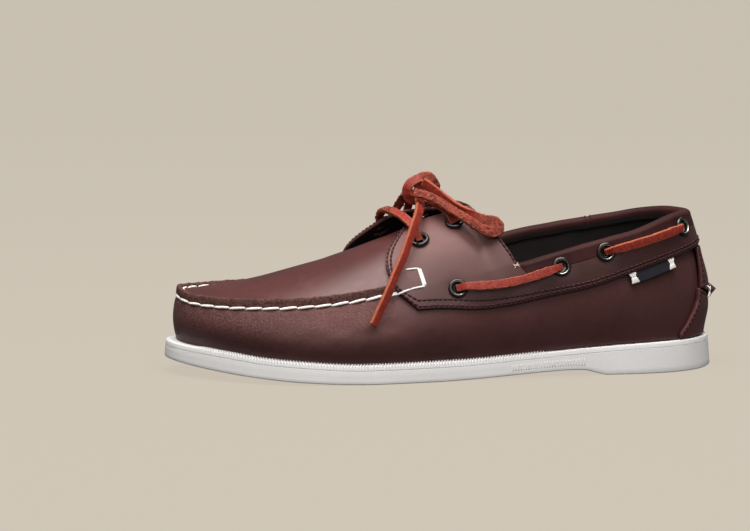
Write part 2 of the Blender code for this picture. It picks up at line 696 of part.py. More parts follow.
def make_eyelets(finish):
    rise = GAP + 0.15 + EYELET_RIM * EYELET_FLATNESS
    for side, label in SIDES.items():
        for number, (x, z) in enumerate(SIDE_EYELETS[side], 1):
            point, normal = above_band(side, x, z, rise)
            make_eyelet(f"eyelet_side_{label}_{number}", point[0], normal[0], finish)
        for number, (x, across) in enumerate(THROAT_EYELETS[side], 1):
            point, normal = above_instep(x, side * across, rise + 0.45)
            make_eyelet(f"eyelet_throat_{label}_{number}", point[0], normal[0], finish)


def thong(name, points, normals, finish):
    """A flat lace along points, its wide face turned to the normals."""
    run = np.gradient(points, axis=0)
    run /= np.linalg.norm(run, axis=1)[:, None]
    wide = np.cross(normals, run)
    wide /= np.linalg.norm(wide, axis=1)[:, None]
    tall = np.cross(run, wide)
    section = oval(THONG_WIDTH, THONG_THICKNESS, 8, 0.55)
    return sweep(name, points, wide, tall, section, finish)


def bar_rise(points):
    """Height of a lace bar's middle over the saddle, low in its two eyelets."""
    along = np.append(0, np.cumsum(np.linalg.norm(np.diff(points, axis=0), axis=1)))
    inner = np.minimum(along, along[-1] - along)
    return BAR_IN_EYELET + (BAR_OVER_RIM - BAR_IN_EYELET) * ease(0.4, 3.0, inner)


def make_side_bars(finish):
    """Lace bars outside the band, from the first to the second side eyelet and so on."""
    share = np.array([0, 0.025, 0.05, 0.09, 0.2, 0.35, 0.5, 0.65, 0.8, 0.91, 0.95, 0.975, 1.0])
    for side, label in SIDES.items():
        holes = SIDE_EYELETS[side]
        for first, name in ((0, "front"), (2, "rear")):
            (x0, z0), (x1, z1) = holes[first], holes[first + 1]
            x = x0 + (x1 - x0) * share
            sag = BAR_SAG[name] * np.sin(np.pi * share)
            z = z0 + (z1 - z0) * share - sag
            rise = bar_rise(above_band(side, x, z, 0.0)[0])
            points, normals = above_band(side, x, z, rise)
            thong(f"lace_bar_{name}_{label}", points, normals, finish)


def make_crossings(finish):
    """Straight lace crossings between the front and the rear pair of throat eyelets."""
    share = np.array([0, 0.04, 0.08, 0.16, 0.3, 0.5, 0.7, 0.84, 0.92, 0.96, 1.0])
    middle = np.sin(np.pi * share)
    pairs = zip(THROAT_EYELETS[-1], THROAT_EYELETS[1])
    extras = (("front", 0.0, 0.0), ("rear", CROSSING_REAR_LIFT, CROSSING_REAR_BOW))
    for (start, end), (name, extra, bow) in zip(pairs, extras):
        x = start[0] + (end[0] - start[0]) * share - bow * middle ** 2
        across = -start[1] + (end[1] + start[1]) * share
        rise = bar_rise(above_instep(x, across, 0.0)[0]) + 0.25 + extra * middle ** 2
        points, normals = above_instep(x, across, rise)
        thong(f"lace_crossing_{name}", points, normals, finish)


def smooth_route(route, step):
    """Points about a step apart on a smooth curve through a route."""
    route = np.array(route)
    along = np.append(0, np.cumsum(np.linalg.norm(np.diff(route, axis=0), axis=1)))
    slopes = np.gradient(route, along, axis=0)
    at = np.linspace(0, along[-1], int(round(along[-1] / step)) + 1)
    index = np.clip(np.searchsorted(along, at, side="right") - 1, 0, len(along) - 2)
    gap = (along[index + 1] - along[index])[:, None]
    u = (at - along[index])[:, None] / gap
    return (route[index] * (1 + 2 * u) * (1 - u) ** 2 + slopes[index] * gap * u * (1 - u) ** 2
            + route[index + 1] * u ** 2 * (3 - 2 * u) - slopes[index + 1] * gap * u ** 2 * (1 - u))


def make_cord(name, route, finish):
    """A free stretch of the lace as a round tube along its route."""
    points = smooth_route(route, CORD_STEP)
    curve = bpy.data.curves.new(name, "CURVE")
    curve.dimensions = "3D"
    curve.bevel_depth = CORD_RADIUS * MM
    curve.bevel_resolution = 2
    curve.use_fill_caps = True
    spline = curve.splines.new("POLY")
    spline.points.add(len(points) - 1)
    for point, place in zip(spline.points, points):
        point.co = (*(place * MM), 1.0)
    curve.materials.append(material(name, finish))
    SHOE.objects.link(bpy.data.objects.new(name, curve))


# ---------------------------------------------------------------- the shoe

for leftover in list(bpy.data.objects):
    bpy.data.objects.remove(leftover, do_unlink=True)

SHOE = bpy.data.collections.new("boat_shoe")
bpy.context.scene.collection.children.link(SHOE)

LEATHER = (0.125, 0.055, 0.05), 0.42, 0.0
RUBBER = (0.62, 0.6, 0.57), 0.6, 0.0
LINING = (0.012, 0.009, 0.008), 0.8, 0.0
ENAMEL = (0.01, 0.01, 0.01), 0.2, 0.6
THONG = (0.32, 0.07, 0.03), 0.55, 0.0

make_outsole(RUBBER)
make_insole(LINING)
make_upper(LEATHER)
make_tongue(LEATHER)
make_saddle("saddle_lateral", -1, LATERAL_SADDLE, LEATHER)
make_saddle("saddle_medial", 1, MEDIAL_SADDLE, LEATHER)
make_counter(LEATHER)
make_strap(LEATHER)
make_tab(LEATHER)
make_binding(LEATHER)
make_eyelets(ENAMEL)
make_side_bars(THONG)
make_crossings(THONG)
make_cord("lace_knot", KNOT, THONG)
make_cord("lace_loop_rear", REAR_LOOP, THONG)
make_cord("lace_loop_medial", MEDIAL_LOOP, THONG)
make_cord("lace_tail_lateral", LATERAL_TAIL, THONG)
make_cord("lace_tail_medial", MEDIAL_TAIL, THONG)
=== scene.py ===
"""Looks of a left lace-up boat shoe: brown leather, rust thong lace, off-white rubber sole.

The toe points along -X, the outer (lateral) side faces -Y and the shoe stands on z = 0.
Tables and functions are in millimetres, and meshes are made in metres.
"""

import math

import bmesh
import bpy
import numpy as np
from mathutils import Matrix, Vector


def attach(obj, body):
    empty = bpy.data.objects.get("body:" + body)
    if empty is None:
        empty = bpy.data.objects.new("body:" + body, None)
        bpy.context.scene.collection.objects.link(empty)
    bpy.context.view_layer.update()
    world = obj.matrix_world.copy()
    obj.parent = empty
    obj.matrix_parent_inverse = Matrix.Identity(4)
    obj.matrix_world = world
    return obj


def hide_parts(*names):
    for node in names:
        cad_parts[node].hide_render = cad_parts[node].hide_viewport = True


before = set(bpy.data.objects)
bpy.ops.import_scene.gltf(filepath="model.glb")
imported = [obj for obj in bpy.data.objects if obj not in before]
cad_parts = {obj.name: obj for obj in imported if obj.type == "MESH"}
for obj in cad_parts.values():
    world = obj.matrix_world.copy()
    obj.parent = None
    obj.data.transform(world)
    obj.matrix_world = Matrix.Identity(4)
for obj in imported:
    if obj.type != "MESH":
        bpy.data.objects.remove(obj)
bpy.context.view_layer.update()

MM = 0.001
GAP = 0.3

# ---------------------------------------------------------------- camera and stage

AZIMUTH, ELEVATION, ROLL = (math.radians(angle) for angle in (-8.0, 7.0, 0.2))
CAMERA_DISTANCE = 1.4
LENS, SENSOR = 127.0, 36.0
AIM = Vector((0.0, 0.0, 0.04))
AIM_RIGHT, AIM_DOWN = 0.02498, 0.01017  # where the aim falls, in shares of the distance

FLOOR_COLOUR = (203, 194, 179)
FLOOR_SHADE, FLOOR_GLOW = 0.05, 0.95
SURROUNDINGS = 0.14
LAMPS = (  # name, place, what it faces, size, power
    ("top_box", (-0.1, -0.35, 1.5), (0.0, 0.0, 0.03), (1.6, 1.1), 46),
    ("front_box", (-0.1, -1.6, 1.0), (0.0, 0.0, 0.05), (1.4, 0.8), 12),
    ("back_box", (0.6, 1.0, 1.5), (0.05, 0.0, 0.06), (0.9, 0.9), 2.5),
)


def linear(*srgb):
    """Linear colour from 0 to 255 values."""
    return tuple((c / 255 / 12.92) if c <= 10 else ((c / 255 + 0.055) / 1.055) ** 2.4
                 for c in srgb)


def make_camera():
    """The camera, from its turn round the shoe, its rise, its roll and its aim."""
    back = Vector((math.sin(AZIMUTH) * math.cos(ELEVATION),
                   -math.cos(AZIMUTH) * math.cos(ELEVATION), math.sin(ELEVATION)))
    level = Vector((math.cos(AZIMUTH), math.sin(AZIMUTH), 0.0))
    steep = back.cross(level)
    right = level * math.cos(ROLL) + steep * math.sin(ROLL)
    up = steep * math.cos(ROLL) - level * math.sin(ROLL)
    place = AIM + CAMERA_DISTANCE * (back - AIM_RIGHT * right + AIM_DOWN * up)
    data = bpy.data.cameras.new("camera")
    data.lens = LENS
    data.sensor_width = SENSOR
    data.clip_end = 50
    camera = bpy.data.objects.new("camera", data)
    bpy.context.scene.collection.objects.link(camera)
    camera.matrix_world = Matrix((
        (right.x, up.x, back.x, place.x), (right.y, up.y, back.y, place.y),
        (right.z, up.z, back.z, place.z), (0, 0, 0, 1)))
    bpy.context.scene.camera = camera


def area_light(name, place, target, size, power):
    """A rectangular lamp that faces a target."""
    data = bpy.data.lights.new(name, "AREA")
    data.shape = "RECTANGLE"
    data.size, data.size_y = size
    data.energy = power
    lamp = bpy.data.objects.new(name, data)
    bpy.context.scene.collection.objects.link(lamp)
    lamp.location = place
    way = Vector(target) - Vector(place)
    lamp.rotation_euler = way.to_track_quat("-Z", "Y").to_euler()


# ---------------------------------------------------------------- finishes

class Number:
    """A socket that holds a number. Arithmetic on it adds Math nodes."""

    def __init__(self, finish, socket):
        self.finish = finish
        self.socket = socket

    def __add__(self, other):
        return self.finish.maths("ADD", self, other)

    def __sub__(self, other):
        return self.finish.maths("SUBTRACT", self, other)

    def __rsub__(self, other):
        return self.finish.maths("SUBTRACT", other, self)

    def __mul__(self, other):
        return self.finish.maths("MULTIPLY", self, other)

    __radd__ = __add__
    __rmul__ = __mul__


class Finish:
    """A material of nodes, and the short ways in which its nodes are made.

    A colour is three numbers from 0 to 255, or four linear shares.
    """

    def __init__(self, name, roughness, **constants):
        self.material = bpy.data.materials.new(name)
        self.material.use_nodes = True
        self.tree = self.material.node_tree
        self.shader = self.tree.nodes["Principled BSDF"]
        self.set(Roughness=roughness, **constants)

    def node(self, kind, settings=None, output=0, **sockets):
        """A node of a type, with its settings made first and then its sockets.

        A socket goes by its name, with underscores for spaces, or by _ and its number.
        """
        made = self.tree.nodes.new("ShaderNode" + kind)
        for key, value in (settings or {}).items():
            setattr(made, key, value)
        for key, value in sockets.items():
            key = int(key[1:]) if key[0] == "_" else key.replace("_", " ")
            self.plug(made.inputs[key], value)
        return Number(self, made.outputs[output])

    def plug(self, socket, value):
        if isinstance(value, Number):
            self.tree.links.new(value.socket, socket)
        elif socket.type == "RGBA" and len(value) == 3:
            socket.default_value = (*linear(*value), 1.0)
        else:
            socket.default_value = value

    def set(self, **sockets):
        for key, value in sockets.items():
            self.plug(self.shader.inputs[key.replace("_", " ")], value)

    def maths(self, operation, first, second):
        return self.node("Math", {"operation": operation}, _0=first, _1=second)

    def place(self):
        """Where a point is on the object, in metres."""
        return self.node("TexCoord", output="Object")

    def noise(self, size, detail, roughness=0.5):
        """Cloudy noise from 0 to 1 whose features are about size millimetres."""
        return self.node("TexNoise", Vector=self.place(), Scale=1 / (size * MM), Detail=detail,
                         Roughness=roughness)

    def pebbles(self, size):
        """Distance from the middles of pebbles about size millimetres across."""
        return self.node("TexVoronoi", output="Distance", Vector=self.place(),
                         Scale=1 / (size * MM))

    def waves(self, size, turn=0.0, direction="X", distortion=0.0):
        """Waves size millimetres apart across x, which may be turned about y."""
        where = self.place()
        if turn:
            where = self.node("Mapping", Vector=where, Rotation=(0.0, turn, 0.0))
        return self.node("TexWave", {"bands_direction": direction}, output="Fac", Vector=where,
                         Scale=WAVE_SCALE / size, Distortion=distortion, Detail_Scale=1.5)

    def layer(self, name):
        """A number painted on the mesh's points."""
        return self.node("Attribute", {"attribute_name": name}, output="Fac")

    def between(self, value, low, high, low_to=0.0, high_to=1.0):
        """value mapped smoothly from low..high to low_to..high_to."""
        return self.node("MapRange", {"interpolation_type": "SMOOTHSTEP"}, _0=value, _1=low,
                         _2=high, _3=low_to, _4=high_to)

    def mix(self, share, first, second):
        """Colours mixed by a share."""
        return self.node("Mix", {"data_type": "RGBA"}, output=2, _0=share, _6=first, _7=second)

    def bump(self, height, depth):
        """A bump whose full height is depth millimetres."""
        return self.node("Bump", Height=height, Distance=depth * MM, Strength=1.0)


WAVE_SCALE = 314.2  # of a wave node, for waves a millimetre apart
LEATHER_TINT = (1.0, 0.78, 0.74, 1.0)
LEATHER_GRAIN = 0.03
LEATHER_CREVICE = (20, 10, 10)
# colour of the painted shade low on the sides
LEATHER_SOLE_SHADE = (22, 9, 9)
# lighter specks under the seam: scuffs, and painted highlights on the pebbles
SCUFF_AND_HIGHLIGHT_SPECKS = (136, 90, 82)


def leather(name, top, deep, shine, roughness=0.44, foot=1.0, rise=(0.0, 0.75), seam=False):
    """Finished side of brown leather: even dye, a fine pebble and painted shade towards the sole.

    foot is the share of its colour that the painted shade leaves at the sole, and rise the two
    levels between which the rest comes back. seam roughens it under the moccasin seam and
    adds lighter specks there: scuffs, and painted highlights on the pebbles.
    """
    finish = Finish(name, roughness, Specular_IOR_Level=shine, Specular_Tint=LEATHER_TINT)
    clouds = finish.noise(42, detail=2)
    mottle = finish.noise(3.0, detail=4, roughness=0.6)
    pebble = finish.pebbles(0.95)
    fine = finish.noise(0.5, detail=3, roughness=0.65)
    share = finish.between(clouds * 0.75 + mottle * 0.25, 0.3, 0.7)
    colour = finish.mix(share, deep, top)
    colour = finish.mix(finish.between(fine, 0.6, 0.85) * 0.2, colour, LEATHER_CREVICE)
    # Painted shade: darker towards the sole, where less of the top light falls.
    if foot < 1:
        low = finish.between(finish.layer("level"), *rise, 1 - foot, 0.0)
        colour = finish.mix(low, colour, LEATHER_SOLE_SHADE)
    height = pebble * -0.5 + fine * 0.5 + mottle * 0.4
    rough = finish.between(mottle + fine * 0.5, 0.45, 1.05, roughness - 0.05, roughness + 0.08)
    if seam:
        # Lighter specks under the seam: scuffed grain, and painted highlights on its pebbles.
        near = finish.layer("seam")
        speck = finish.between(finish.noise(1.0, detail=5, roughness=0.75), 0.42, 0.64)
        colour = finish.mix(speck * near * 0.5, colour, SCUFF_AND_HIGHLIGHT_SPECKS)
        height = height + speck * near * 5.0
    finish.set(Base_Color=colour, Roughness=rough, Normal=finish.bump(height, LEATHER_GRAIN))
    return finish


# ---------------------------------------------------------------- the last, mm

WALL = 2.2
OVERLAY = 1.7
OVERLAY_GAP = 0.55

# Rows run from the heel to the toe on each side. Columns: base_x, base_y, ledge, rail_x,
# rail_y, rail_z, belly. The rail is the moccasin seam in front and the collar behind.
HEEL_BACK = (146.0, 0.0, 6.0, 130.8, 0.0, 83.6, 4.6)
TOE_TIP = (-146.0, 4.5, 6.2, -139.7, 4.0, 40.2, 1.8)
LATERAL = (
    (140.5, -15.0, 5.2, 125.2, -13.6, 83.3, 4.4),
    (128.0, -26.8, 4.4, 114.6, -22.0, 81.2, 4.0),
    (105.0, -34.2, 3.6, 98.0, -29.4, 75.8, 3.6),
    (75.0, -35.6, 3.5, 72.0, -33.4, 69.6, 3.6),
    (40.0, -38.6, 3.5, 39.0, -33.9, 60.3, 4.2),
    (5.0, -45.1, 3.5, 5.0, -36.9, 52.0, 4.5),
    (-25.0, -50.8, 3.5, -25.0, -40.0, 46.0, 4.6),
    (-52.0, -53.5, 3.5, -52.0, -42.6, 41.4, 4.6),
    (-78.0, -51.6, 3.6, -78.0, -41.8, 38.7, 4.2),
    (-102.0, -43.6, 4.0, -101.0, -37.4, 37.9, 3.6),
    (-121.0, -31.4, 4.6, -118.5, -28.2, 37.6, 3.0),
    (-135.0, -18.6, 5.4, -131.0, -17.2, 37.9, 2.4),
    (-143.2, -7.4, 6.0, -137.3, -7.0, 38.9, 2.0),
)
MEDIAL = (
    (140.5, 15.0, 5.2, 125.2, 13.9, 83.4, 4.4),
    (128.0, 27.2, 4.4, 115.0, 23.2, 82.0, 4.0),
    (105.0, 34.4, 3.6, 99.0, 30.4, 78.8, 3.6),
    (75.0, 34.0, 3.5, 72.0, 33.8, 74.2, 3.4),
    (40.0, 32.4, 3.5, 40.0, 33.0, 68.3, 3.2),
    (8.0, 36.0, 3.5, 9.0, 34.2, 58.6, 3.2),
    (-22.0, 44.6, 3.5, -21.0, 38.4, 49.6, 3.8),
    (-50.0, 51.2, 3.5, -49.0, 42.6, 42.6, 4.2),
    (-76.0, 52.0, 3.6, -75.0, 43.4, 39.6, 4.0),
    (-100.0, 46.8, 4.0, -98.0, 40.2, 38.7, 3.4),
    (-120.0, 37.4, 4.6, -116.5, 33.0, 38.8, 2.8),
    (-134.5, 26.4, 5.4, -130.0, 23.4, 39.2, 2.3),
    (-143.0, 15.6, 6.0, -137.2, 14.0, 39.8, 2.0),
)
SOLE_BOTTOM = ((-146, 8.2), (-130, 6.0), (-115, 4.3), (-100, 2.9), (-85, 1.7), (-70, 0.9),
               (-56, 0.3), (-42, 0.0), (-8, 0.0), (10, 0.4), (30, 1.3), (50, 2.4), (62, 2.9),
               (70, 2.8), (77, 1.2), (83, 0.0), (138, 0.0), (146, 0.5))
SOLE_TOP = ((-146, 17.2), (-130, 16.0), (-115, 14.6), (-100, 12.9), (-78, 11.4),
            (-46, 9.8), (3, 10.1), (40, 11.9), (74, 14.3), (100, 15.8), (120, 16.4),
            (146, 16.6))
CROWN = ((-140, 3.0), (-130, 4.6), (-118, 6.6), (-106, 8.4), (-96, 10.4), (-81, 14.0),
         (-67, 17.0), (-51, 20.2), (-40, 22.2), (-29, 23.6), (-15, 25.6), (3, 27.6),
         (14, 28.6), (26, 27.6), (40, 26.5))
PLUG_ROUNDNESS = 2.35
RIDGE_WIDTH = 2.8
PLUG_INSET = RIDGE_WIDTH + 0.2  # of the plug's edge inside the raised seam
PLUG_EDGE_RISE = 2.4  # of the same edge over the rail
RIDGE_FADE = {-1: (-36.0, -27.0), 1: (-53.0, -44.0)}
PLUG_REAR_X = -14.0
BINDING_HEIGHT = 6.5  # how much lower the wall ends under the collar
BASE_XY, RAIL_XY = [0, 1], [3, 4]  # columns of the rows
INSIDE = WALL + 2 * GAP  # how far in the tongue and the footbed start


def cubic(u, gap, start, end, leaving, arriving):
    """A curve from start to end as u goes from 0 to 1 over a gap, with its two slopes."""
    return (start * (1 + 2 * u) * (1 - u) ** 2 + leaving * gap * u * (1 - u) ** 2
            + end * u ** 2 * (3 - 2 * u) - arriving * gap * u ** 2 * (1 - u))


def periodic_spline(knots, values, period, at):
    """Cubic spline through values at knots, closed with the given period."""
    count = len(knots)
    gaps = np.diff(np.append(knots, knots[0] + period))
    slopes = (np.roll(values, -1, axis=0) - values) / gaps[:, None]
    matrix = np.zeros((count, count))
    for i in range(count):
        before = gaps[i - 1]
        matrix[i, i - 1] += before
        matrix[i, i] += 2 * (before + gaps[i])
        matrix[i, (i + 1) % count] += gaps[i]
    bends = np.linalg.solve(matrix, 6 * (slopes - np.roll(slopes, 1, axis=0)))
    at = np.mod(np.asarray(at, float) - knots[0], period) + knots[0]
    index = np.clip(np.searchsorted(knots, at, side="right") - 1, 0, count - 1)
    gap = gaps[index][:, None]
    rest = (at - knots[index])[:, None]
    left = bends[index]
    right = bends[(index + 1) % count]
    return (values[index] + rest * (slopes[index] - gap * (2 * left + right) / 6)
            + rest ** 2 * left / 2 + rest ** 3 * (right - left) / (6 * gap))


def steady(xs, zs, x):
    """Smooth values at x through zs at xs, without overshoot."""
    steps = np.diff(zs) / np.diff(xs)
    before, after = steps[:-1], steps[1:]
    same_way = before * after > 0
    mean = 2 * before * after / np.where(same_way, before + after, 1.0)
    slopes = np.concatenate([steps[:1], np.where(same_way, mean, 0.0), steps[-1:]])
    x = np.clip(x, xs[0], xs[-1])
    index = np.clip(np.searchsorted(xs, x, side="right") - 1, 0, len(xs) - 2)
    gap = xs[index + 1] - xs[index]
    return cubic((x - xs[index]) / gap, gap, zs[index], zs[index + 1], slopes[index],
                 slopes[index + 1])


def height(table, x):
    """Height at x from a table of x and height."""
    xs, zs = np.array(table, float).T
    return steady(xs, zs, x)


def ease(low, high, x):
    """0 below low, 1 above high, smooth between."""
    u = np.clip((np.asarray(x, float) - low) / (high - low), 0, 1)
    return u * u * (3 - 2 * u)


def hump(value, middle, width):
    """1 at the middle, falling smoothly to 0 about a width away."""
    return np.exp(-((np.asarray(value, float) - middle) / width) ** 2)


ROWS = np.array([HEEL_BACK, *LATERAL, TOE_TIP, *MEDIAL[::-1]])


def row_places():
    """Place of each row along the closed path: 0 heel, 1 toe, 2 heel again."""
    sides = [np.array([HEEL_BACK, *rows, TOE_TIP])[:, :2] for rows in (LATERAL, MEDIAL)]
    steps = np.mean([np.linalg.norm(np.diff(side, axis=0), axis=1) for side in sides], axis=0)
    along = np.append(0.0, np.cumsum(steps)) / steps.sum()
    return np.concatenate([along, 2 - along[-2:0:-1]])


PLACES = row_places()


def around(places):
    """The rows' columns, smooth along the closed path."""
    return periodic_spline(PLACES, ROWS, 2.0, np.atleast_1d(places))


def plan_normals(places, columns):
    """Outward normals in plan of the path that two of the rows' columns make."""
    step = 1e-4
    ahead = around(np.atleast_1d(places) + step)[:, columns]
    behind = around(np.atleast_1d(places) - step)[:, columns]
    run = ahead - behind
    run /= np.linalg.norm(run, axis=1)[:, None]
    return np.stack([-run[:, 1], run[:, 0]], axis=1)


def outward(places, columns):
    """The same normals in three dimensions."""
    return np.column_stack([plan_normals(places, columns), np.zeros(np.size(places))])


def place_at(x, side):
    """Place whose rail has this x, on side -1 (lateral) or +1 (medial)."""
    places = np.linspace(0, 1, 600)
    if side > 0:
        places = 2 - places
    xs = around(places)[:, 3]
    return np.interp(-np.asarray(x, float), -xs, places)


def rails(places, inset=0.0, drop=0.0):
    """Points at the foot and on the rail, the outward normals of the foot and the belly."""
    row = around(places)
    base_out = plan_normals(places, BASE_XY)
    rail_out = plan_normals(places, RAIL_XY)
    foot = np.empty((len(row), 3))
    foot[:, :2] = row[:, :2] - base_out * (row[:, 2:3] + inset)
    foot[:, 2] = height(SOLE_TOP, foot[:, 0]) + GAP
    top = np.empty((len(row), 3))
    top[:, :2] = row[:, 3:5] - rail_out * inset
    top[:, 2] = row[:, 5] - drop
    return foot, top, base_out, row[:, 6]


def side_wall(places, level, inset=0.0, drop=0.0):
    """Points of the side at a level from 0, the sole, to 1, the rail."""
    foot, top, out, belly = rails(places, inset, drop)
    level = np.broadcast_to(level, len(foot))[:, None]
    points = foot + (top - foot) * level
    points[:, :2] += out * belly[:, None] * np.sin(np.pi * level)
    return points


def instep(places, across, inset=0.0, drop=0.0):
    """Points of the plug and instep, across from -1, the lateral rail, to 1."""
    places = np.atleast_1d(places)
    lateral = np.minimum(places, 2 - places)
    left = rails(lateral, inset, drop)[1]
    right = rails(2 - lateral, inset, drop)[1]
    across = np.broadcast_to(across, len(left))[:, None]
    points = left + (right - left) * (across + 1) / 2
    crown = height(CROWN, points[:, 0])
    points[:, 2] += crown * (1 - np.abs(across[:, 0]) ** PLUG_ROUNDNESS)
    return points


def skin(places, level):
    """The whole outside: level 0 to 1 is the side, 1 to 2 the instep to its middle."""
    places = np.atleast_1d(places)
    level = np.broadcast_to(level, len(places))
    side = np.where(places > 1, 1.0, -1.0)
    low = side_wall(places, np.minimum(level, 1.0))
    high = instep(places, side * (2 - np.maximum(level, 1.0)))
    share = ease(0.93, 1.07, level)[:, None]
    soft = low + (high - low) * share
    return np.where((level > 1.07)[:, None], high, np.where((level < 0.93)[:, None], low, soft))


def skin_normals(places, level):
    """Outward normals of the whole outside."""
    places = np.atleast_1d(places).astype(float)
    level = np.broadcast_to(level, len(places)).astype(float)
    step = 0.004
    along = skin(places + step, level) - skin(places - step, level)
    up = skin(places, level + step * 4) - skin(places, level - step * 4)
    normal = np.cross(up, along)
    return normal / np.linalg.norm(normal, axis=1)[:, None]


def level_at(places, z):
    """Level on the side wall where it has this height."""
    foot, top = rails(places)[:2]
    return (z - foot[:, 2]) / (top[:, 2] - foot[:, 2])


# ---------------------------------------------------------------- mesh making

def grid_faces(rows, columns, round_rows=False, round_columns=False, flip=False):
    """Faces of a grid of points, which may close on itself either way."""
    i, j = np.meshgrid(np.arange(rows - (not round_rows)),
                       np.arange(columns - (not round_columns)), indexing="ij")
    ahead, over = (i + 1) % rows, (j + 1) % columns
    quads = np.stack([i * columns + j, ahead * columns + j, ahead * columns + over,
                      i * columns + over], axis=-1).reshape(-1, 4)
    return (quads[:, ::-1] if flip else quads).tolist()


def make_piece(name, points, faces, finishes, stands_for=(), parts=None, layers=None):
    """A smooth mesh piece from millimetre points, riding on the shoe."""
    mesh = bpy.data.meshes.new(name)
    mesh.from_pydata((np.asarray(points) * MM).tolist(), [], faces)
    for finish in finishes:
        mesh.materials.append(finish.material)
    if parts is not None:
        mesh.polygons.foreach_set("material_index", np.asarray(parts, np.int32))
    mesh.polygons.foreach_set("use_smooth", np.ones(len(mesh.polygons), bool))
    for key, values in (layers or {}).items():
        layer = mesh.attributes.new(key, "FLOAT", "POINT")
        layer.data.foreach_set("value", np.asarray(values, np.float32).ravel())
    made = bpy.data.objects.new(name, mesh)
    bpy.context.scene.collection.objects.link(made)
    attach(made, "root")
    if stands_for:
        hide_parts(*stands_for)
    return made


def walled(faces, count):
    """Faces of a closed solid between two like sheets, the first outside."""
    edges = {}
    for face in faces:
        for start, end in zip(face, face[1:] + face[:1]):
            edges[(start, end)] = True
    rims = [[end, start, start + count, end + count]
            for start, end in edges if (end, start) not in edges]
    back = [[index + count for index in reversed(face)] for face in faces]
    return faces + back + rims


def make_sheet(name, outer, inner, faces, finishes, stands_for=(), slot="brown_leather", **layers):
    """A closed sheet between two like sets of points. A second finish lines its inside.

    Layers hold numbers for the points of one set, and are the same on both.
    """
    shape = outer.shape[:-1]
    all_faces = walled(faces, math.prod(shape))
    parts = np.zeros(len(all_faces), int)
    parts[len(faces):2 * len(faces)] = len(finishes) - 1
    layers = {key: np.tile(np.broadcast_to(values, shape).ravel(), 2)
              for key, values in layers.items()}
    points = np.vstack([outer.reshape(-1, 3), inner.reshape(-1, 3)])
    return make_piece(name, points, all_faces, finishes, stands_for, parts, layers)


def unit(vectors):
    """Vectors scaled to length 1."""
    vectors = np.asarray(vectors, float)
    return vectors / np.maximum(np.linalg.norm(vectors, axis=-1, keepdims=True), 1e-9)


def path_length(points):
    """Distance along a path at each of its points."""
    return np.append(0.0, np.cumsum(np.linalg.norm(np.diff(points, axis=0), axis=1)))


def respaced(points, step, *others):
    """Points about a step apart along a path, with other rows carried along."""
    along = path_length(points)
    count = max(2, int(round(along[-1] / step)) + 1)
    at = np.linspace(0, along[-1], count)
    rows = [np.column_stack([np.interp(at, along, column) for column in np.asarray(row).T])
            for row in (points, *others)]
    return rows if others else rows[0]


def smooth_route(route, step):
    """Points about a step apart on a smooth curve through a route."""
    route = np.array(route)
    along = path_length(route)
    slopes = np.gradient(route, along, axis=0)
    at = np.linspace(0, along[-1], int(round(along[-1] / step)) + 1)
    index = np.clip(np.searchsorted(along, at, side="right") - 1, 0, len(along) - 2)
    gap = (along[index + 1] - along[index])[:, None]
    return cubic((at - along[index])[:, None] / gap, gap, route[index], route[index + 1],
                 slopes[index], slopes[index + 1])


def tube_faces(rings, size, first=0):
    """Faces of a bar of rings of points, closed at both ends by one face."""
    quads = np.array(grid_faces(rings, size, round_columns=True))[:, [0, 3, 2, 1]] + first
    ends = [[first + k for k in range(size)][::-1],
            [first + (rings - 1) * size + k for k in range(size)]]
    return quads.tolist() + ends


def swept(points, normals, section):
    """Rings of a section carried along points: its y faces the normals."""
    run = unit(np.gradient(points, axis=0))
    wide = unit(np.cross(normals, run))
    tall = np.cross(run, wide)
    return (points[:, None] + section[..., :1] * wide[:, None]
            + section[..., 1:] * tall[:, None])


def ringed_piece(name, rings, finishes, stands_for=(), layers=None):
    """A piece whose rings of points follow each other, closed at both ends."""
    return make_piece(name, rings.reshape(-1, 3), tube_faces(*rings.shape[:2]), finishes,
                      stands_for, layers=layers)


def oval(width, tall, count, power=1.0):
    """Outline of a section: a power of 1 makes an ellipse, and less squares it."""
    turn = (np.arange(count) + 0.5) * 2 * np.pi / count
    shape = np.column_stack([np.cos(turn), np.sin(turn)])
    return np.sign(shape) * np.abs(shape) ** power * (width / 2, tall / 2)


RANDOM = np.random.default_rng(12)


def thread(name, rows, finish, thickness, bury, rise, sides=7):
    """Stitches as one piece. Each row is a start, an end and the normal between them.

    Their ends are buried in the leather and their middles rise over it.
    """
    share = np.array([0.0, 0.08, 0.25, 0.5, 0.75, 0.92, 1.0])
    lift = np.array([-bury, 0.35 * rise, 0.9 * rise, rise, 0.9 * rise, 0.35 * rise, -bury])
    fat = np.array([0.75, 0.95, 1.0, 1.05, 1.0, 0.95, 0.75])
    section = oval(1.0, 0.8, sides)
    points, faces = [], []
    for start, end, normal in rows:
        middle = start + (end - start) * share[:, None] + normal * lift[:, None]
        size = thickness * RANDOM.uniform(0.93, 1.07)
        normals = np.tile(normal, (len(share), 1))
        rings = swept(middle, normals, section[None] * (fat * size)[:, None, None])
        faces += tube_faces(len(share), sides, first=len(points) * len(share) * sides)
        points.append(rings.reshape(-1, 3))
    make_piece(name, np.vstack(points), faces, [finish])


def running_stitch(path, normals, pitch, share, slant=0.0, wobble=0.0):
    """Starts, ends and normals of stitches at a pitch along a path."""
    along = path_length(path)
    count = max(1, int(round(along[-1] / pitch)))
    pitch = along[-1] / count
    side = np.cross(normals, unit(np.gradient(path, axis=0)))

    def at(s, rows):
        return np.array([np.interp(s, along, column) for column in rows.T])

    rows = []
    for k in range(count):
        middle, half = (k + 0.5) * pitch, share / 2 * pitch
        tilt = slant + RANDOM.normal(0, wobble) if wobble else slant
        lean = at(middle, side) * tilt
        rows.append((at(middle - half, path) - lean, at(middle + half, path) + lean,
                     unit(at(middle, normals))))
    return rows


# ---------------------------------------------------------------- colours of the finishes

TAPE_SLOPE = math.radians(17)  # of the band where the label hangs


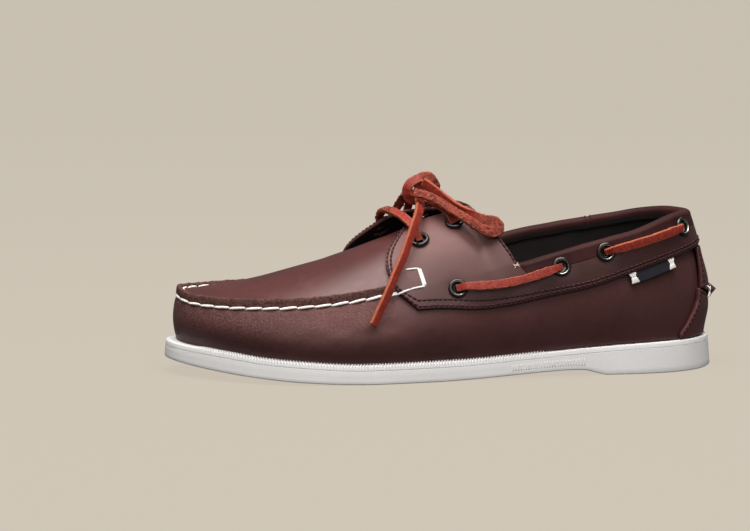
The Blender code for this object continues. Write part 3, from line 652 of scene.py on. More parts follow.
def ridge_finish():
    """Cut edge and flesh side of the leather: rough, with a short nap."""
    finish = Finish("seam_suede", 0.85, Specular_IOR_Level=0.2)
    nap = finish.noise(0.9, detail=5, roughness=0.75)
    patch = finish.noise(3.5, detail=3)
    share = finish.between(nap * 0.8 + patch * 0.2, 0.38, 0.66)
    finish.set(Base_Color=finish.mix(share, (50, 28, 25), (116, 78, 70)),
               Normal=finish.bump(nap, 0.5))
    return finish


def thong_finish():
    """Rust brown lace leather: polished faces, hairy cut edges and a rough flesh side."""
    finish = Finish("lace_thong", 0.5, Specular_IOR_Level=0.3)
    edge = finish.layer("edge")
    flesh = finish.layer("flesh")
    streak = finish.noise(1.3, detail=3, roughness=0.55)
    hair = finish.noise(0.4, detail=4, roughness=0.8)
    nap = finish.noise(1.7, detail=6, roughness=0.8)
    face = finish.mix(finish.between(streak, 0.35, 0.68), (126, 38, 28), (156, 58, 42))
    cut = finish.mix(finish.between(hair, 0.35, 0.68), (126, 52, 36), (206, 112, 80))
    rough = finish.mix(finish.between(nap, 0.38, 0.62), (76, 24, 16), (160, 68, 47))
    height = hair * edge * 1.6 + streak * 0.3 + nap * flesh * 3.0
    finish.set(Base_Color=finish.mix(edge, finish.mix(flesh, face, rough), cut),
               Roughness=edge * 0.25 + flesh * 0.2 + 0.48, Normal=finish.bump(height, 0.3))
    return finish


def thread_finish(name, light, dark):
    """Twisted waxed thread."""
    finish = Finish(name, 0.6, Specular_IOR_Level=0.35)
    ply = finish.waves(0.55, direction="DIAGONAL", distortion=0.6)
    fuzz = finish.noise(0.4, detail=4, roughness=0.7)
    share = finish.between(ply * 0.55 + fuzz * 0.45, 0.2, 0.75)
    finish.set(Base_Color=finish.mix(share, dark, light),
               Normal=finish.bump(ply * 0.6 + fuzz * 0.4, 0.12))
    return finish


def rubber_finish():
    """Clean off-white moulded rubber, with painted shade in its tread cuts and its groove."""
    finish = Finish("white_rubber", 0.62, Specular_IOR_Level=0.2)
    fine = finish.noise(0.5, detail=4, roughness=0.6)
    clouds = finish.noise(34, detail=3)
    scuff = finish.noise(2.4, detail=5, roughness=0.7)
    tread = finish.layer("tread")
    share = finish.between(clouds * 0.7 + scuff * 0.3, 0.35, 0.7)
    colour = finish.mix(share, (219, 216, 213), (226, 223, 220))
    sipe = finish.waves(2.6)
    cut = finish.between(sipe, 0.0, 0.12, 1.0, 0.0) * tread
    # Painted shade in the tread's cuts and in the groove under the lip.
    colour = finish.mix(cut * 0.6, colour, (130, 127, 124))
    colour = finish.mix(finish.layer("groove") * 0.3, colour, (165, 162, 160))
    finish.set(Base_Color=colour, Roughness=finish.between(scuff, 0.3, 0.8, 0.58, 0.7),
               Normal=finish.bump(fine * 0.25 - cut * 3.0, 0.1))
    return finish


def enamel_finish():
    """Black enamel over rolled metal, worn bright along the inner edge."""
    finish = Finish("black_enamel", 0.22, Specular_IOR_Level=0.6)
    chip = finish.noise(0.9, detail=4, roughness=0.7)
    bare = finish.between(finish.layer("bare") + (chip - 0.5) * 0.5, 0.45, 0.62)
    finish.set(Base_Color=finish.mix(bare, (20, 20, 20), (178, 172, 160)), Metallic=bare,
               Roughness=bare * 0.08 + 0.2, Normal=finish.bump(chip, 0.03))
    return finish


def lining_finish():
    """Plain dark lining."""
    finish = Finish("lining", 0.75, Specular_IOR_Level=0.3)
    clouds = finish.noise(14, detail=4)
    fine = finish.noise(0.6, detail=4, roughness=0.7)
    share = finish.between(clouds * 0.6 + fine * 0.4, 0.35, 0.68)
    finish.set(Base_Color=finish.mix(share, (17, 12, 12), (32, 22, 21)),
               Normal=finish.bump(fine, 0.08))
    return finish


def tape_finish():
    """Black woven tape with a fine rib."""
    finish = Finish("woven_tape", 0.8, Specular_IOR_Level=0.2)
    rib = finish.waves(0.5, turn=TAPE_SLOPE)
    fuzz = finish.noise(0.4, detail=3)
    share = finish.between(rib * 0.6 + fuzz * 0.4, 0.3, 0.8)
    finish.set(Base_Color=finish.mix(share, (22, 22, 26), (46, 46, 52)),
               Normal=finish.bump(rib, 0.1))
    return finish


# ---------------------------------------------------------------- laces

# Routes of the free lace in x, y, z. The tails run from the knot to their ends.
KNOT = ((-13, -1, 89), (-15.5, -1.5, 89.5), (-17.5, -1.5, 90.5), (-18.5, -2, 92.5),
        (-19, -2, 94.5), (-18.5, -2.5, 96.5), (-17.5, -2.5, 98), (-15.5, -2.5, 99.5),
        (-13.5, -2.5, 100.5), (-11, -2.5, 101.5), (-8.5, -2, 101.5), (-6.5, -1.5, 101),
        (-5, -1.5, 99.5), (-4, -1, 98), (-3.5, -1, 96), (-5, 0, 93))
REAR_LOOP = ((-11, -6.5, 99.5), (-6, -10, 96), (0, -14, 91), (6, -20, 87), (12, -24.5, 84),
             (18, -27, 81), (23, -29, 80), (25, -30, 77.5), (22, -31.5, 75.5), (17, -31, 76.5),
             (12, -30, 79.5), (7, -27, 83), (1, -22, 86.5), (-5, -16, 90.5), (-11, -12, 93),
             (-16, -9.5, 94))
LATERAL_TAIL = ((-12.5, -5.5, 95), (-13, -6, 90), (-13, -10, 87.5), (-14, -14, 86.5),
                (-15, -18, 85), (-16.5, -22.5, 82.5), (-18.5, -27, 79.5), (-20.5, -31, 75.5),
                (-23, -35, 71), (-25.5, -39, 65.5), (-28.5, -42.5, 60), (-31.5, -45.5, 55),
                (-34, -48.5, 50), (-39, -52.5, 40.5), (-44, -55.5, 31))
MEDIAL_LOOP = ((-12, 4.5, 93.5), (-12.5, 12, 93), (-13, 20, 90), (-13.5, 28, 83.5), (-14.5, 35, 74),
               (-16, 41, 64), (-18.5, 45, 55.5), (-22.5, 47, 52), (-25.5, 45.5, 56),
               (-25.5, 41, 64), (-23, 35, 73.5), (-20, 28, 82), (-17.5, 20, 88.5), (-17, 12, 91),
               (-16, 6, 92))
MEDIAL_TAIL = ((-8, 3, 96), (-7, 6.5, 96), (-6, 10, 95), (-5, 14, 93.5), (-3.5, 18, 91.5),
               (-2.5, 22.5, 88.5), (-2, 27, 84.5), (-1.5, 31, 80), (-1.5, 35, 75),
               (-1.5, 38.5, 69.5), (-2, 41.5, 64), (-2.5, 43.5, 59), (-3, 45.5, 53.5),
               (-4.5, 47.5, 43), (-6, 48, 33.5))
FREE_LACE = {
    # Route, where its flat face looks at even shares of it, width, far end, and the shares
    # between which its rough side shows.
    "lace_knot": (KNOT, ((0.2, -1, -0.5), (-0.6, -0.9, 0), (-0.3, -0.9, 0.5), (0.6, -0.9, 0.2),
                         (0.6, -0.9, -0.4)), 5.0, "object", (0.55, 0.9)),
    "lace_loop_rear": (REAR_LOOP, ((-0.3, -0.9, -0.3), (-0.3, -0.9, -0.3), (-0.3, -0.8, -0.5),
                                   (-0.1, -1, 0.1), (0.1, -1, 0.3), (0.1, -1, 0.3),
                                   (0.1, -0.8, 0.7), (0.2, -0.8, 0.6), (0.1, -0.9, 0.4)),
                       4.4, "object", (0.33, 1.0)),
    "lace_loop_medial": (MEDIAL_LOOP, ((0, 0, 1), (0, 0.7, 0.7), (0, 1, 0.3), (0, 1, 0),
                                       (0.6, 0.8, 0.3), (0.2, 0.3, 1)), 4.3, "object",
                         (0.55, 0.95)),
    "lace_tail_lateral": (LATERAL_TAIL, ((0.3, -0.7, 0.7), (0.6, -0.8, 0.1), (0.6, -0.8, -0.1),
                                         (0.6, -0.8, -0.1)), 5.0, "bare", (1.0, 1.0)),
    "lace_tail_medial": (MEDIAL_TAIL, ((0, 0.2, 1), (0, 0.6, 0.8), (0, 1, 0.3), (0, 1, 0.1)),
                         4.5, "bare", (1.0, 1.0)),
}
KNOT_HEART = ((-12.5, -1, 90.5), (-12.3, 0.3, 96), (-11, 2, 100.3), (-8.5, 2.5, 99.5),
              (-8, 2, 95.5), (-9, 1, 91))
THONG_SIDES = 28
THONG_SQUARENESS = 0.42  # power of its section's outline
THONG_ROUGHNESS = 0.06
BAR_WIDTH = 4.6
LOOP_SWELL = 0.42  # how much wider the rear loop is where it turns
LOOP_TURN = (0.47, 0.09)  # share of its length where that is, and the share it takes


def thong_mesh(name, points, normals, width, thick, finish, stands_for, taper=1.0,
               flesh=(1.0, 1.0)):
    """A flat thong along points, its wide face turned to the normals, cut square.

    Between the two shares of its length in flesh, its rough side faces outwards.
    """
    section = oval(1.0, 1.0, THONG_SIDES, THONG_SQUARENESS)
    along = path_length(points)
    wander = np.interp(along, np.linspace(0, along[-1], 24), RANDOM.normal(0, 0.035, 24))
    size = np.stack([width * taper * (1 + wander), thick * (0.6 + 0.4 * taper) * (1 - wander)],
                    axis=1)
    rings = swept(points, normals, section[None] * size[:, None])
    share = along / along[-1]
    nappy = ease(flesh[0], flesh[0] + 0.08, share) * (1 - ease(flesh[1], flesh[1] + 0.08, share))
    ragged = RANDOM.normal(0, THONG_ROUGHNESS, rings.shape[:2]) * (1 + 3.0 * nappy[:, None])
    rings += ragged[..., None] * unit(rings - points[:, None])
    edge = np.tile(ease(0.36, 0.46, np.abs(section[:, 0])), (len(points), 1))
    edge[[0, -1]] = 1.0
    return ringed_piece(name, rings, [finish], stands_for,
                        {"edge": edge, "flesh": np.repeat(nappy, THONG_SIDES)})


def make_free_lace(finish):
    """The knot, loops and tails, each a thong, and a short strand that fills the knot."""
    for name, (route, looks, width, far_end, flesh) in FREE_LACE.items():
        points = smooth_route(route, 0.8)
        looks = unit(np.array(looks, float))
        at = np.linspace(0, len(looks) - 1, len(points))
        normals = np.column_stack([steady(np.arange(len(looks)), column, at)
                                   for column in looks.T])
        along = path_length(points)
        swell = LOOP_SWELL if name == "lace_loop_rear" else 0.0
        taper = 1 + swell * hump(along / along[-1], *LOOP_TURN)
        made = thong_mesh(name + "_thong", points, unit(normals), width, 2.2, finish, [name],
                          taper, flesh)
        tuple(route[0][k] * MM for k in range(3))
        width * MM
        (points[::3] * MM).tolist()
    points = smooth_route(KNOT_HEART, 0.8)
    thong_mesh("knot_heart", points, np.tile(unit((0.1, -1, 0.1)), (len(points), 1)),
               BAR_WIDTH, 2.0, finish, ())


# ---------------------------------------------------------------- sole

SOLE_STATIONS = 900
GROOVE_DROP = 2.6
FOOT_ROUND = 0.7  # height of the rounding at the wall's foot
WALL_SLOPE = 0.085
TEETH_PITCH = 1.6
TEETH_HEIGHT = 1.5
TEETH_REAR_X = 62.0
RIB_DEPTH = 0.26
WALL_RIBS = (31.0, 68.0, 1.35)  # x of the first and the end, and their pitch


def wall_lean(x):
    """How far in the sole's wall leans by the time it reaches the lip."""
    wall = height(SOLE_TOP, x) - height(SOLE_BOTTOM, x)
    return WALL_SLOPE * (wall - GROOVE_DROP - FOOT_ROUND)


def sole_edge(places, inset, z):
    """Points in from the sole's widest outline, at a height."""
    edge = around(places)[:, :2]
    inset, z = np.broadcast_to(inset, len(edge)), np.broadcast_to(z, len(edge))
    return np.column_stack([edge - plan_normals(places, BASE_XY) * inset[:, None], z])


def across_faces(first, stations, flip):
    """Faces that close a ring of stations straight across the shoe."""
    faces = []
    for i in range(stations // 2):
        right, right_next = first + (stations - i) % stations, first + stations - i - 1
        corners = list(dict.fromkeys((first + i, first + i + 1, right_next, right)))
        faces.append(corners[::-1] if flip else corners)
    return faces


def stacked_faces(rings, stations):
    """Faces of rings one over the other, closed across the shoe at the bottom and the top."""
    return (grid_faces(rings, stations, round_columns=True)
            + across_faces(0, stations, flip=False)
            + across_faces((rings - 1) * stations, stations, flip=True))


def make_sole(finish):
    """Rubber sole: flared wall with a fine groove under its lip, and a tread below."""
    places = np.arange(SOLE_STATIONS) * 2.0 / SOLE_STATIONS
    edge = around(places)[:, :2]
    bottom = height(SOLE_BOTTOM, edge[:, 0])
    top = height(SOLE_TOP, edge[:, 0])
    along = path_length(np.vstack([edge, edge[:1]]))[:-1]
    worn = 0.12 * np.sin(along / 17) + 0.08 * np.sin(along / 5.3 + 1)
    wall = top - bottom
    lip = top - GROOVE_DROP
    lean = wall_lean(edge[:, 0])
    # How far in from the wall's edge, the height, how much it is tread, whose cuts take painted
    # shade, and how much of the groove's painted shade it takes.
    rings = (
        (12.0, bottom, 1.0, 0), (4.0, bottom, 1.0, 0), (1.6, bottom, 1.0, 0),
        (0.5, bottom + 0.03, 0.6, 0), (0.14, bottom + 0.25, 0, 0),
        (0.0, bottom + FOOT_ROUND, 0, 0),
        (lean * 0.2 + 0.04 * worn, bottom + wall * 0.2, 0, 0),
        (lean * 0.45 + 0.04 * worn, bottom + wall * 0.42, 0, 0),
        (lean * 0.7, bottom + wall * 0.6, 0, 0), (lean, lip - 0.45, 0, 0),
        (lean + 0.01, lip - 0.32, 0, 0), (lean + 0.1, lip - 0.2, 0, 0.5),
        (lean + 0.11, lip - 0.05, 0, 0.5), (lean + 0.03, lip + 0.05, 0, 0),
        (lean + 0.05, lip + 0.2, 0, 0), (lean + 0.15, lip + 0.9, 0, 0),
        (lean + 0.35, top - 0.6, 0, 0), (lean + 0.55, top - 0.12, 0, 0),
        (lean + 1.1, top + 0.02, 0, 0), (lean + 1.9, top, 0, 0), (3.4, top - 0.25, 0, 0),
        (5.5, top - 0.3, 0, 0), (12.0, top - 0.3, 0, 0),
    )
    points = np.vstack([sole_edge(places, inset, z) for inset, z, _, _ in rings])
    layers = {"tread": np.repeat([ring[2] for ring in rings], SOLE_STATIONS),
              "groove": np.repeat([ring[3] for ring in rings], SOLE_STATIONS)}
    make_piece("rubber_sole", points, stacked_faces(len(rings), SOLE_STATIONS), [finish],
               ["outsole"], layers=layers)


def make_teeth(finish):
    """Fine upright ribs along the front of the sole's lip, which end in teeth above it."""
    places = np.linspace(0, 2, 6001)
    edge = around(places)[:, :2]
    along = path_length(edge)
    reach = along[edge[:, 0] < TEETH_REAR_X]
    count = 4 * int(round((reach[-1] - reach[0]) / TEETH_PITCH)) + 1
    places = np.interp(np.linspace(reach[0], reach[-1], count), along, places)
    x = around(places)[:, 0]
    top = height(SOLE_TOP, x)
    front = ease(-136, -128, x) * (1 - ease(44, 60, x))
    crest = front * np.array([0.0, 0.5, 1.0, 0.5])[np.arange(count) % 4]
    lean = wall_lean(x)
    face = lean + 0.22 - RIB_DEPTH * crest
    tip = top - 0.3 + TEETH_HEIGHT * crest
    section = ((lean + 0.5, top - 2.4), (face, top - 2.15), (face + 0.35, tip - 0.7),
               (face + 0.7, tip), (lean + 1.6, tip - 0.1 * crest), (lean + 2.2, top - 0.3),
               (lean + 2.2, top - 0.8))
    rings = np.stack([sole_edge(places, inset, z) for inset, z in section], axis=1)
    polygons = ringed_piece("sole_teeth", rings, [finish]).data.polygons
    polygons.foreach_set("use_smooth", np.zeros(len(polygons), bool))


def make_wall_ribs(finish):
    """Plain fine ribs low on the sole's outer wall, in front of the heel."""
    rows = []
    for x in np.arange(*WALL_RIBS):
        place = place_at(x, -1)
        edge_x = around(place)[:, 0]
        bottom, top = height(SOLE_BOTTOM, edge_x), height(SOLE_TOP, edge_x)
        low, high = (sole_edge(place, 0.9 * (z - bottom) / (top - bottom), z)[0]
                     for z in (bottom + 2.2, bottom + (top - bottom) * 0.55))
        rows.append((low, high, outward(place, BASE_XY)[0]))
    thread("sole_wall_ribs", rows, finish, 0.75, bury=0.3, rise=0.02)


# ---------------------------------------------------------------- upper

UPPER_STATIONS = 560
VAMP_CREASES = (
    # x, height, half length along, half width, depth
    (-34.0, 29.36, 9.0, 3.4, 0.5),
    (-46.0, 26.0, 12.0, 3.2, 0.42),
    (-60.0, 28.24, 10.0, 3.0, 0.36),
    (-72.0, 24.32, 12.0, 3.6, 0.34),
    (-88.0, 27.4, 10.0, 3.4, 0.26),
)
CREASE_TURNS = (-0.32, 0.38)  # each crease is a pair of crossing troughs
PLUG_DIPS = (
    # x, length along, middle and width across from -1 to 1, depth
    (-44, 6, -0.15, 0.5, 0.35),
    (-63, 5, 0.1, 0.45, 0.22),
)
RIDGE_ENDS = (-25.0, -42.0)  # x of its ends on the lateral and the medial side
RIDGE_SECTION = (
    # How far in, how high, and how much of the ragged top it takes.
    (0.35, -1.4, 0.0), (0.12, -0.2, 0.0), (-0.05, 0.5, 0.1), (-0.1, 1.6, 0.2), (0.0, 3.0, 0.4),
    (0.18, 4.3, 0.9), (0.5, 4.95, 1.0), (1.0, 5.1, 1.0), (1.7, 5.0, 0.8), (2.3, 4.75, 0.6),
    (2.7, 4.2, 0.3), (2.9, 3.3, 0.1), (3.05, 2.3, 0.0), (3.2, 0.6, 0.0), (2.2, -1.4, 0.0),
)
UPPER_PLACES = np.arange(UPPER_STATIONS) * 2.0 / UPPER_STATIONS


def trough(across, up, turn, half_length, half_width):
    """How deep a soft trough is, from 0 to 1, by distances from its middle and its turn."""
    a = across * math.cos(turn) + up * math.sin(turn)
    b = up * math.cos(turn) - across * math.sin(turn)
    return hump(a, 0, half_length) * hump(b, 0, half_width)


def make_quarters(finish, lining):
    """Vamp and quarters: one leather wall round the foot, lined inside."""
    places = UPPER_PLACES
    rail = around(places)[:, 3:6]
    drop = BINDING_HEIGHT * ease(18, 39, rail[:, 0])
    levels = np.concatenate([np.linspace(0, 0.9, 34), np.linspace(0.9, 1.0, 8)[1:]])
    along = path_length(np.vstack([rail[:, :2], rail[:1, :2]]))[:-1]
    front = ridge_share(places)
    waves = np.sin(2 * np.pi * along / STITCH_PITCH) * 0.16
    out = outward(places, BASE_XY)
    outer, inner = [], []
    for level in levels:
        points = side_wall(places, level, drop=drop)
        below = rail[:, 2] - points[:, 2]
        swell = (hump(below, 2.5, 4.0) * waves - 0.45 * hump(below, 0.0, 1.6)) * front
        for x, z, half_length, half_width, depth in VAMP_CREASES:
            for turn in CREASE_TURNS:
                swell -= 0.5 * depth * trough(points[:, 0] - x, points[:, 2] - z, turn,
                                              half_length, half_width)
        outer.append(points + out * swell[:, None])
        inner.append(side_wall(places, level, WALL, drop + WALL * 0.2 * front))
    outer, inner = np.stack(outer, axis=1), np.stack(inner, axis=1)
    seam = hump(rail[:, 2:] - outer[..., 2], 0.0, 13.0) * front[:, None]
    # The levels also set the leather's painted shade towards the sole.
    make_sheet("quarters", outer, inner, grid_faces(*outer.shape[:2], round_rows=True, flip=True),
               [finish, lining], ["upper"], seam=seam, level=levels)


def ridge_share(places):
    """1 where the moccasin seam stands up, falling to 0 behind it."""
    rail_x = around(places)[:, 3]
    low, high = np.where((places < 1)[:, None], RIDGE_FADE[-1], RIDGE_FADE[1]).T
    return 1 - ease(low, high, rail_x)


def make_plug(finish):
    """The moccasin's top panel, crowned, sewn to the raised seam all round."""
    half = UPPER_STATIONS // 2
    rail_x = around(UPPER_PLACES[:half])[:, 3]
    left = UPPER_PLACES[np.argmin(np.abs(rail_x - (PLUG_REAR_X + 2))):half]
    edges = []
    for places in (left, 2 - left):
        raised = ridge_share(places)
        edge = rails(places)[1] - outward(places, RAIL_XY) * (PLUG_INSET * raised)[:, None]
        edges.append(edge + np.outer(raised, (0, 0, PLUG_EDGE_RISE)))
    start, end = edges
    raised = (ridge_share(left) + ridge_share(2 - left)) / 2
    across = np.sin(np.linspace(-1, 1, 61) * np.pi / 2)
    rows = []
    for value in across:
        points = start + (end - start) * (value + 1) / 2
        crown = height(CROWN, points[:, 0]) - PLUG_EDGE_RISE * raised
        points[:, 2] += crown * (1 - np.abs(value) ** PLUG_ROUNDNESS)
        points[:, 2] -= 0.35 * raised * hump(1 - abs(value), 0.0, 0.03)
        for x, length, middle, width, depth in PLUG_DIPS:
            points[:, 2] -= depth * hump(points[:, 0], x, length) * hump(value, middle, width)
        rows.append(points)
    tip = rails(np.array([1.0]))[1][0] + (PLUG_INSET, 0, PLUG_EDGE_RISE)
    grid = np.stack(rows, axis=1)
    top = np.vstack([grid.reshape(-1, 3), tip])
    last_row = len(top) - 1 - len(across)
    faces = grid_faces(*grid.shape[:2], flip=True)
    faces += [(len(top) - 1, last_row + k, last_row + k + 1) for k in range(len(across) - 1)]
    make_sheet("plug", top, top - (0, 0, WALL), faces, [finish])


def rail_run(count, rear_lateral, rear_medial):
    """Places along the moccasin seam, from the lateral side round the toe to the medial."""
    return np.linspace(place_at(rear_lateral, -1), place_at(rear_medial, 1), count)


def make_ridge(finish):
    """The seam's raised edge, rough leather that stands round the plug."""
    places = rail_run(900, *RIDGE_ENDS)
    rail = rails(places)[1]
    towards = -outward(places, RAIL_XY)
    raised = ridge_share(places)
    along = path_length(rail)
    scallop = np.sin(2 * np.pi * along / STITCH_PITCH)
    knots = np.arange(0, along[-1] + 2, 0.9)
    ragged = np.interp(along, knots, RANDOM.normal(0, 0.11, len(knots)))
    rings = []
    for inward, up, share in RIDGE_SECTION:
        lift = up * raised + share * (ragged + 0.1 * scallop) * raised
        push = inward + share * ragged * 0.5 - 0.12 * scallop * hump(up, 2.0, 1.6)
        points = rail + towards * (push * (0.25 + 0.75 * raised))[:, None]
        points[:, 2] += np.where(up < 0, up, lift)
        rings.append(points)
    ringed_piece("seam_ridge", np.stack(rings, axis=1), [finish])


# ---------------------------------------------------------------- hand stitches

STITCH_PITCH = 9.0
STITCH_THICKNESS, PLUG_STITCH_THICKNESS = 1.4, 1.1
# x of the ends on the lateral and the medial side.
SEAM_ENDS, PLUG_SEAM_ENDS = (-28.5, -42.0), (-52.0, -60.0)


def seam_path(rear_lateral, rear_medial, inward, up):
    """A line along the moccasin seam with its outward normals."""
    places = rail_run(500, rear_lateral, rear_medial)
    out = outward(places, RAIL_XY)
    path = rails(places)[1] - out * inward + (0, 0, up)
    return path, out


def make_seam_stitches(finish):
    """White stitches over the seam's edge, and a second row inside it on the plug."""
    path, out = seam_path(*SEAM_ENDS, inward=0.1, up=0.1)
    rows = running_stitch(path, unit(out + (0, 0, 0.25)), STITCH_PITCH, 1.02, 0.3, 0.1)
    thread("seam_stitches", rows, finish, STITCH_THICKNESS, bury=0.3, rise=0.55)
    path, out = seam_path(*PLUG_SEAM_ENDS, inward=RIDGE_WIDTH + 0.35, up=3.0)
    rows = running_stitch(path, unit(-out + (0, 0, 0.9)), STITCH_PITCH, 0.86, 0.1, 0.1)
    thread("plug_stitches", rows, finish, PLUG_STITCH_THICKNESS, bury=0.3,
           rise=0.4)


# ---------------------------------------------------------------- saddle

# Columns: x and height of the low edge, x and level of the high edge, and how far the line
# between them bows to the front.
LATERAL_SADDLE = (
    (-29.5, 45.3, -20.5, 1.74, 9.0),
    (-25.0, 41.2, -15.0, 1.76, 7.0),
    (-19.8, 36.8, -8.0, 1.77, 4.0),
    (-10.0, 37.3, 0.0, 1.78, 2.0),
    (0.0, 37.1, 8.0, 1.78, 0.0),
    (8.0, 36.6, 11.0, 1.76, 0.0),
    (16.0, 36.8, 16.0, 1.57, 0.0),
    (23.0, 37.6, 23.0, 1.32, 0.0),
    (30.0, 38.5, 30.5, 1.10, 0.0),
    (37.0, 39.8, 38.0, 0.87, 0.0),
    (52.0, 42.9, 52.0, 0.857, 0.0),
    (70.0, 46.4, 70.0, 0.872, 0.0),
    (90.0, 52.6, 90.0, 0.880, 0.0),
    (109.0, 59.0, 109.0, 0.888, 0.0),
    (124.0, 63.4, 124.0, 0.893, 0.0),
    (130.79, 65.2, 130.79, 0.894, 0.0),
)
MEDIAL_SADDLE = (
    (-41.5, 43.8, -25.5, 1.72, 13.5),
    (-36.0, 41.4, -18.0, 1.75, 10.0),
    (-30.0, 38.4, -9.5, 1.77, 5.5),
    (-17.0, 38.6, 0.0, 1.78, 2.0),
    (-5.0, 39.2, 8.0, 1.78, 0.0),
    (5.0, 40.0, 11.0, 1.76, 0.0),
    (14.0, 41.0, 16.5, 1.57, 0.0),
    (22.0, 42.2, 23.5, 1.32, 0.0),
    (30.0, 43.7, 31.5, 1.10, 0.0),
    (38.0, 45.4, 40.0, 0.875, 0.0),
    (52.0, 48.4, 52.0, 0.872, 0.0),
    (70.0, 52.0, 70.0, 0.882, 0.0),
    (90.0, 56.6, 90.0, 0.886, 0.0),
    (109.0, 61.0, 109.0, 0.890, 0.0),
    (124.0, 64.0, 124.0, 0.893, 0.0),
    (130.79, 65.2, 130.79, 0.894, 0.0),
)
SADDLE_TABLES = {-1: LATERAL_SADDLE, 1: MEDIAL_SADDLE}
SADDLE_CORNERS = (0, 2, 9, 15)  # rows where an outline turns sharply
SADDLE_LIFT = {-1: (3.4, 1.8), 1: (7.6, 1.8)}  # off the instep, before and behind these x
LIFT_ENDS = (-20.0, 8.0)
SIDES = {-1: "lateral", 1: "medial"}
# Eyelets of the bands by x and height, and of the wings by x and share across the instep.
SIDE_EYELETS = {-1: ((1.6, 46.7), (56.4, 57.2), (79.9, 64.4), (121.6, 75.2)),
                1: ((-4.0, 49.6), (52.0, 61.5), (76.0, 67.0), (121.6, 75.6))}
THROAT_EYELETS = {-1: ((-15.6, 0.55), (3.3, 0.45)), 1: ((-31.0, 0.48), (-9.0, 0.42))}
EDGE_LINES = (0.0, 0.1, 0.26, 0.46, 0.7, 1.0)  # close grid lines that round a cut edge
EDGE_ROUND = 0.7
FRONT_LINES = np.array(EDGE_LINES[1:-1]) / 6.5  # the same at its front, in the table's rows
SADDLE_STEP = 1.1


def lift(x, across):
    """How far the saddle stands off the instep, by place across it from -1 to 1."""
    across = np.asarray(across, float)
    rear = ease(*LIFT_ENDS, x)
    ends = np.array([SADDLE_LIFT[-1], SADDLE_LIFT[1]])
    lateral, medial = (end[0] + (end[1] - end[0]) * rear for end in ends)
    side = np.clip(across / 0.25, -1, 1)
    most = lateral + (medial - lateral) * (side + 1) / 2
    return most * (np.clip(1 - np.abs(across), 0, 0.75) / 0.75) ** 1.5


def off_skin(places, levels, off):
    """Points off the outside, with the normals there."""
    shape = places.shape
    flat = places.ravel(), levels.ravel()
    normals = skin_normals(*flat)
    points = skin(*flat) + normals * np.broadcast_to(off, shape).ravel()[:, None]
    return points.reshape(*shape, 3), normals.reshape(*shape, 3)


def grid_normals(grid, facing):
    """Normals of a grid of points, on the side that it faces."""
    along, up = np.gradient(grid, axis=0), np.gradient(grid, axis=1)
    normals = unit(np.cross(along, up))
    return normals * np.sign(np.sum(normals * facing, axis=-1, keepdims=True))


def edge_shares(lengths, inner_count):
    """Shares across a panel: close lines at both edges and even ones between."""
    lines = np.array(EDGE_LINES)[None] / lengths[:, None]
    middle = np.linspace(0, 1, inner_count + 2)[1:-1]
    low, high = lines[:, -1:], 1 - lines[:, -1:]
    return np.hstack([lines, low + (high - low) * middle, 1 - lines[:, ::-1]])


def edge_distance(grid):
    """Distance of each point of a grid from its low, high, first and last edges."""
    up = np.cumsum(np.linalg.norm(np.diff(grid, axis=1, prepend=grid[:, :1]), axis=2), axis=1)
    along = np.cumsum(np.linalg.norm(np.diff(grid, axis=0, prepend=grid[:1]), axis=2), axis=0)
    return up, up[:, -1:] - up, along, along[-1:] - along


def rounded(distance, thickness):
    """Height of a panel's face near its cut edge."""
    share = np.clip(distance / EDGE_ROUND, 0, 1)
    return thickness - 0.55 * EDGE_ROUND * (1 - np.sqrt(1 - (1 - share) ** 2))


def saddle_columns(side):
    """Saddle columns about a step apart, smooth between the corners."""
    table = np.array(SADDLE_TABLES[side])
    at = []
    for first, last in zip(SADDLE_CORNERS, SADDLE_CORNERS[1:]):
        length = abs(table[last, 0] - table[first, 0]) + abs(table[last, 1] - table[first, 1])
        at.append(np.linspace(first, last, int(length / SADDLE_STEP) + 2)[:-1])
    at = np.unique(np.concatenate([*at, SADDLE_CORNERS[-1:], FRONT_LINES]))
    rows = np.empty((len(at), table.shape[1]))
    for first, last in zip(SADDLE_CORNERS, SADDLE_CORNERS[1:]):
        here = (at >= first) & (at <= last)
        for k in range(table.shape[1]):
            rows[here, k] = steady(np.arange(first, last + 1), table[first:last + 1, k], at[here])
    return rows.T


def saddle_grid(side):
    """Places and levels over the saddle, and how far its underside stands off."""
    low_x, low_z, high_x, high_level, bow = saddle_columns(side)
    low_place, high_place = place_at(low_x, side), place_at(high_x, side)
    low_level = level_at(low_place, low_z)
    bowed = place_at(low_x - bow, side) - low_place

    def fill(share):
        places = low_place[:, None] + (high_place - low_place)[:, None] * share
        places = places + bowed[:, None] * np.sin(np.pi * share)
        levels = low_level[:, None] + (high_level - low_level)[:, None] * share
        return places, levels

    coarse = off_skin(*fill(np.tile(np.linspace(0, 1, 12), (len(low_x), 1))), 0.0)[0]
    lengths = np.linalg.norm(np.diff(coarse, axis=1), axis=2).sum(axis=1)
    places, levels = fill(edge_shares(lengths, 44))
    rail_x = around(places.ravel())[:, 3].reshape(places.shape)
    off = OVERLAY_GAP + lift(rail_x, side * (2 - np.maximum(levels, 1.0)))
    return places, levels, off


LEVEL_LENGTH = 34  # millimetres over the leather for one level
WING_FOLDS = {
    # x, level, turn, half length, half width, depth
    -1: ((13.0, 1.37, 2.2, 12.5, 3.8, 2.5), (22.0, 1.2, 0.9, 9.0, 3.5, -0.3),
         (-6.0, 1.2, 0.2, 9.0, 6.0, -0.35), (34.0, 0.72, 0.15, 12.0, 3.0, 0.3)),
    1: ((10.0, 1.42, 0.9, 13.0, 4.0, 0.7), (-8.0, 1.2, 0.2, 9.0, 6.0, -0.35),
        (36.0, 0.75, 0.15, 12.0, 3.0, 0.3)),
}


def wing_folds(side, points, levels):
    """Soft troughs and swells placed on the wing and the band."""
    total = np.zeros(levels.shape)
    for x, level, turn, half_length, half_width, depth in WING_FOLDS[side]:
        total -= depth * trough(points[..., 0] - x, (levels - level) * LEVEL_LENGTH, turn,
                                half_length, half_width)
    return total


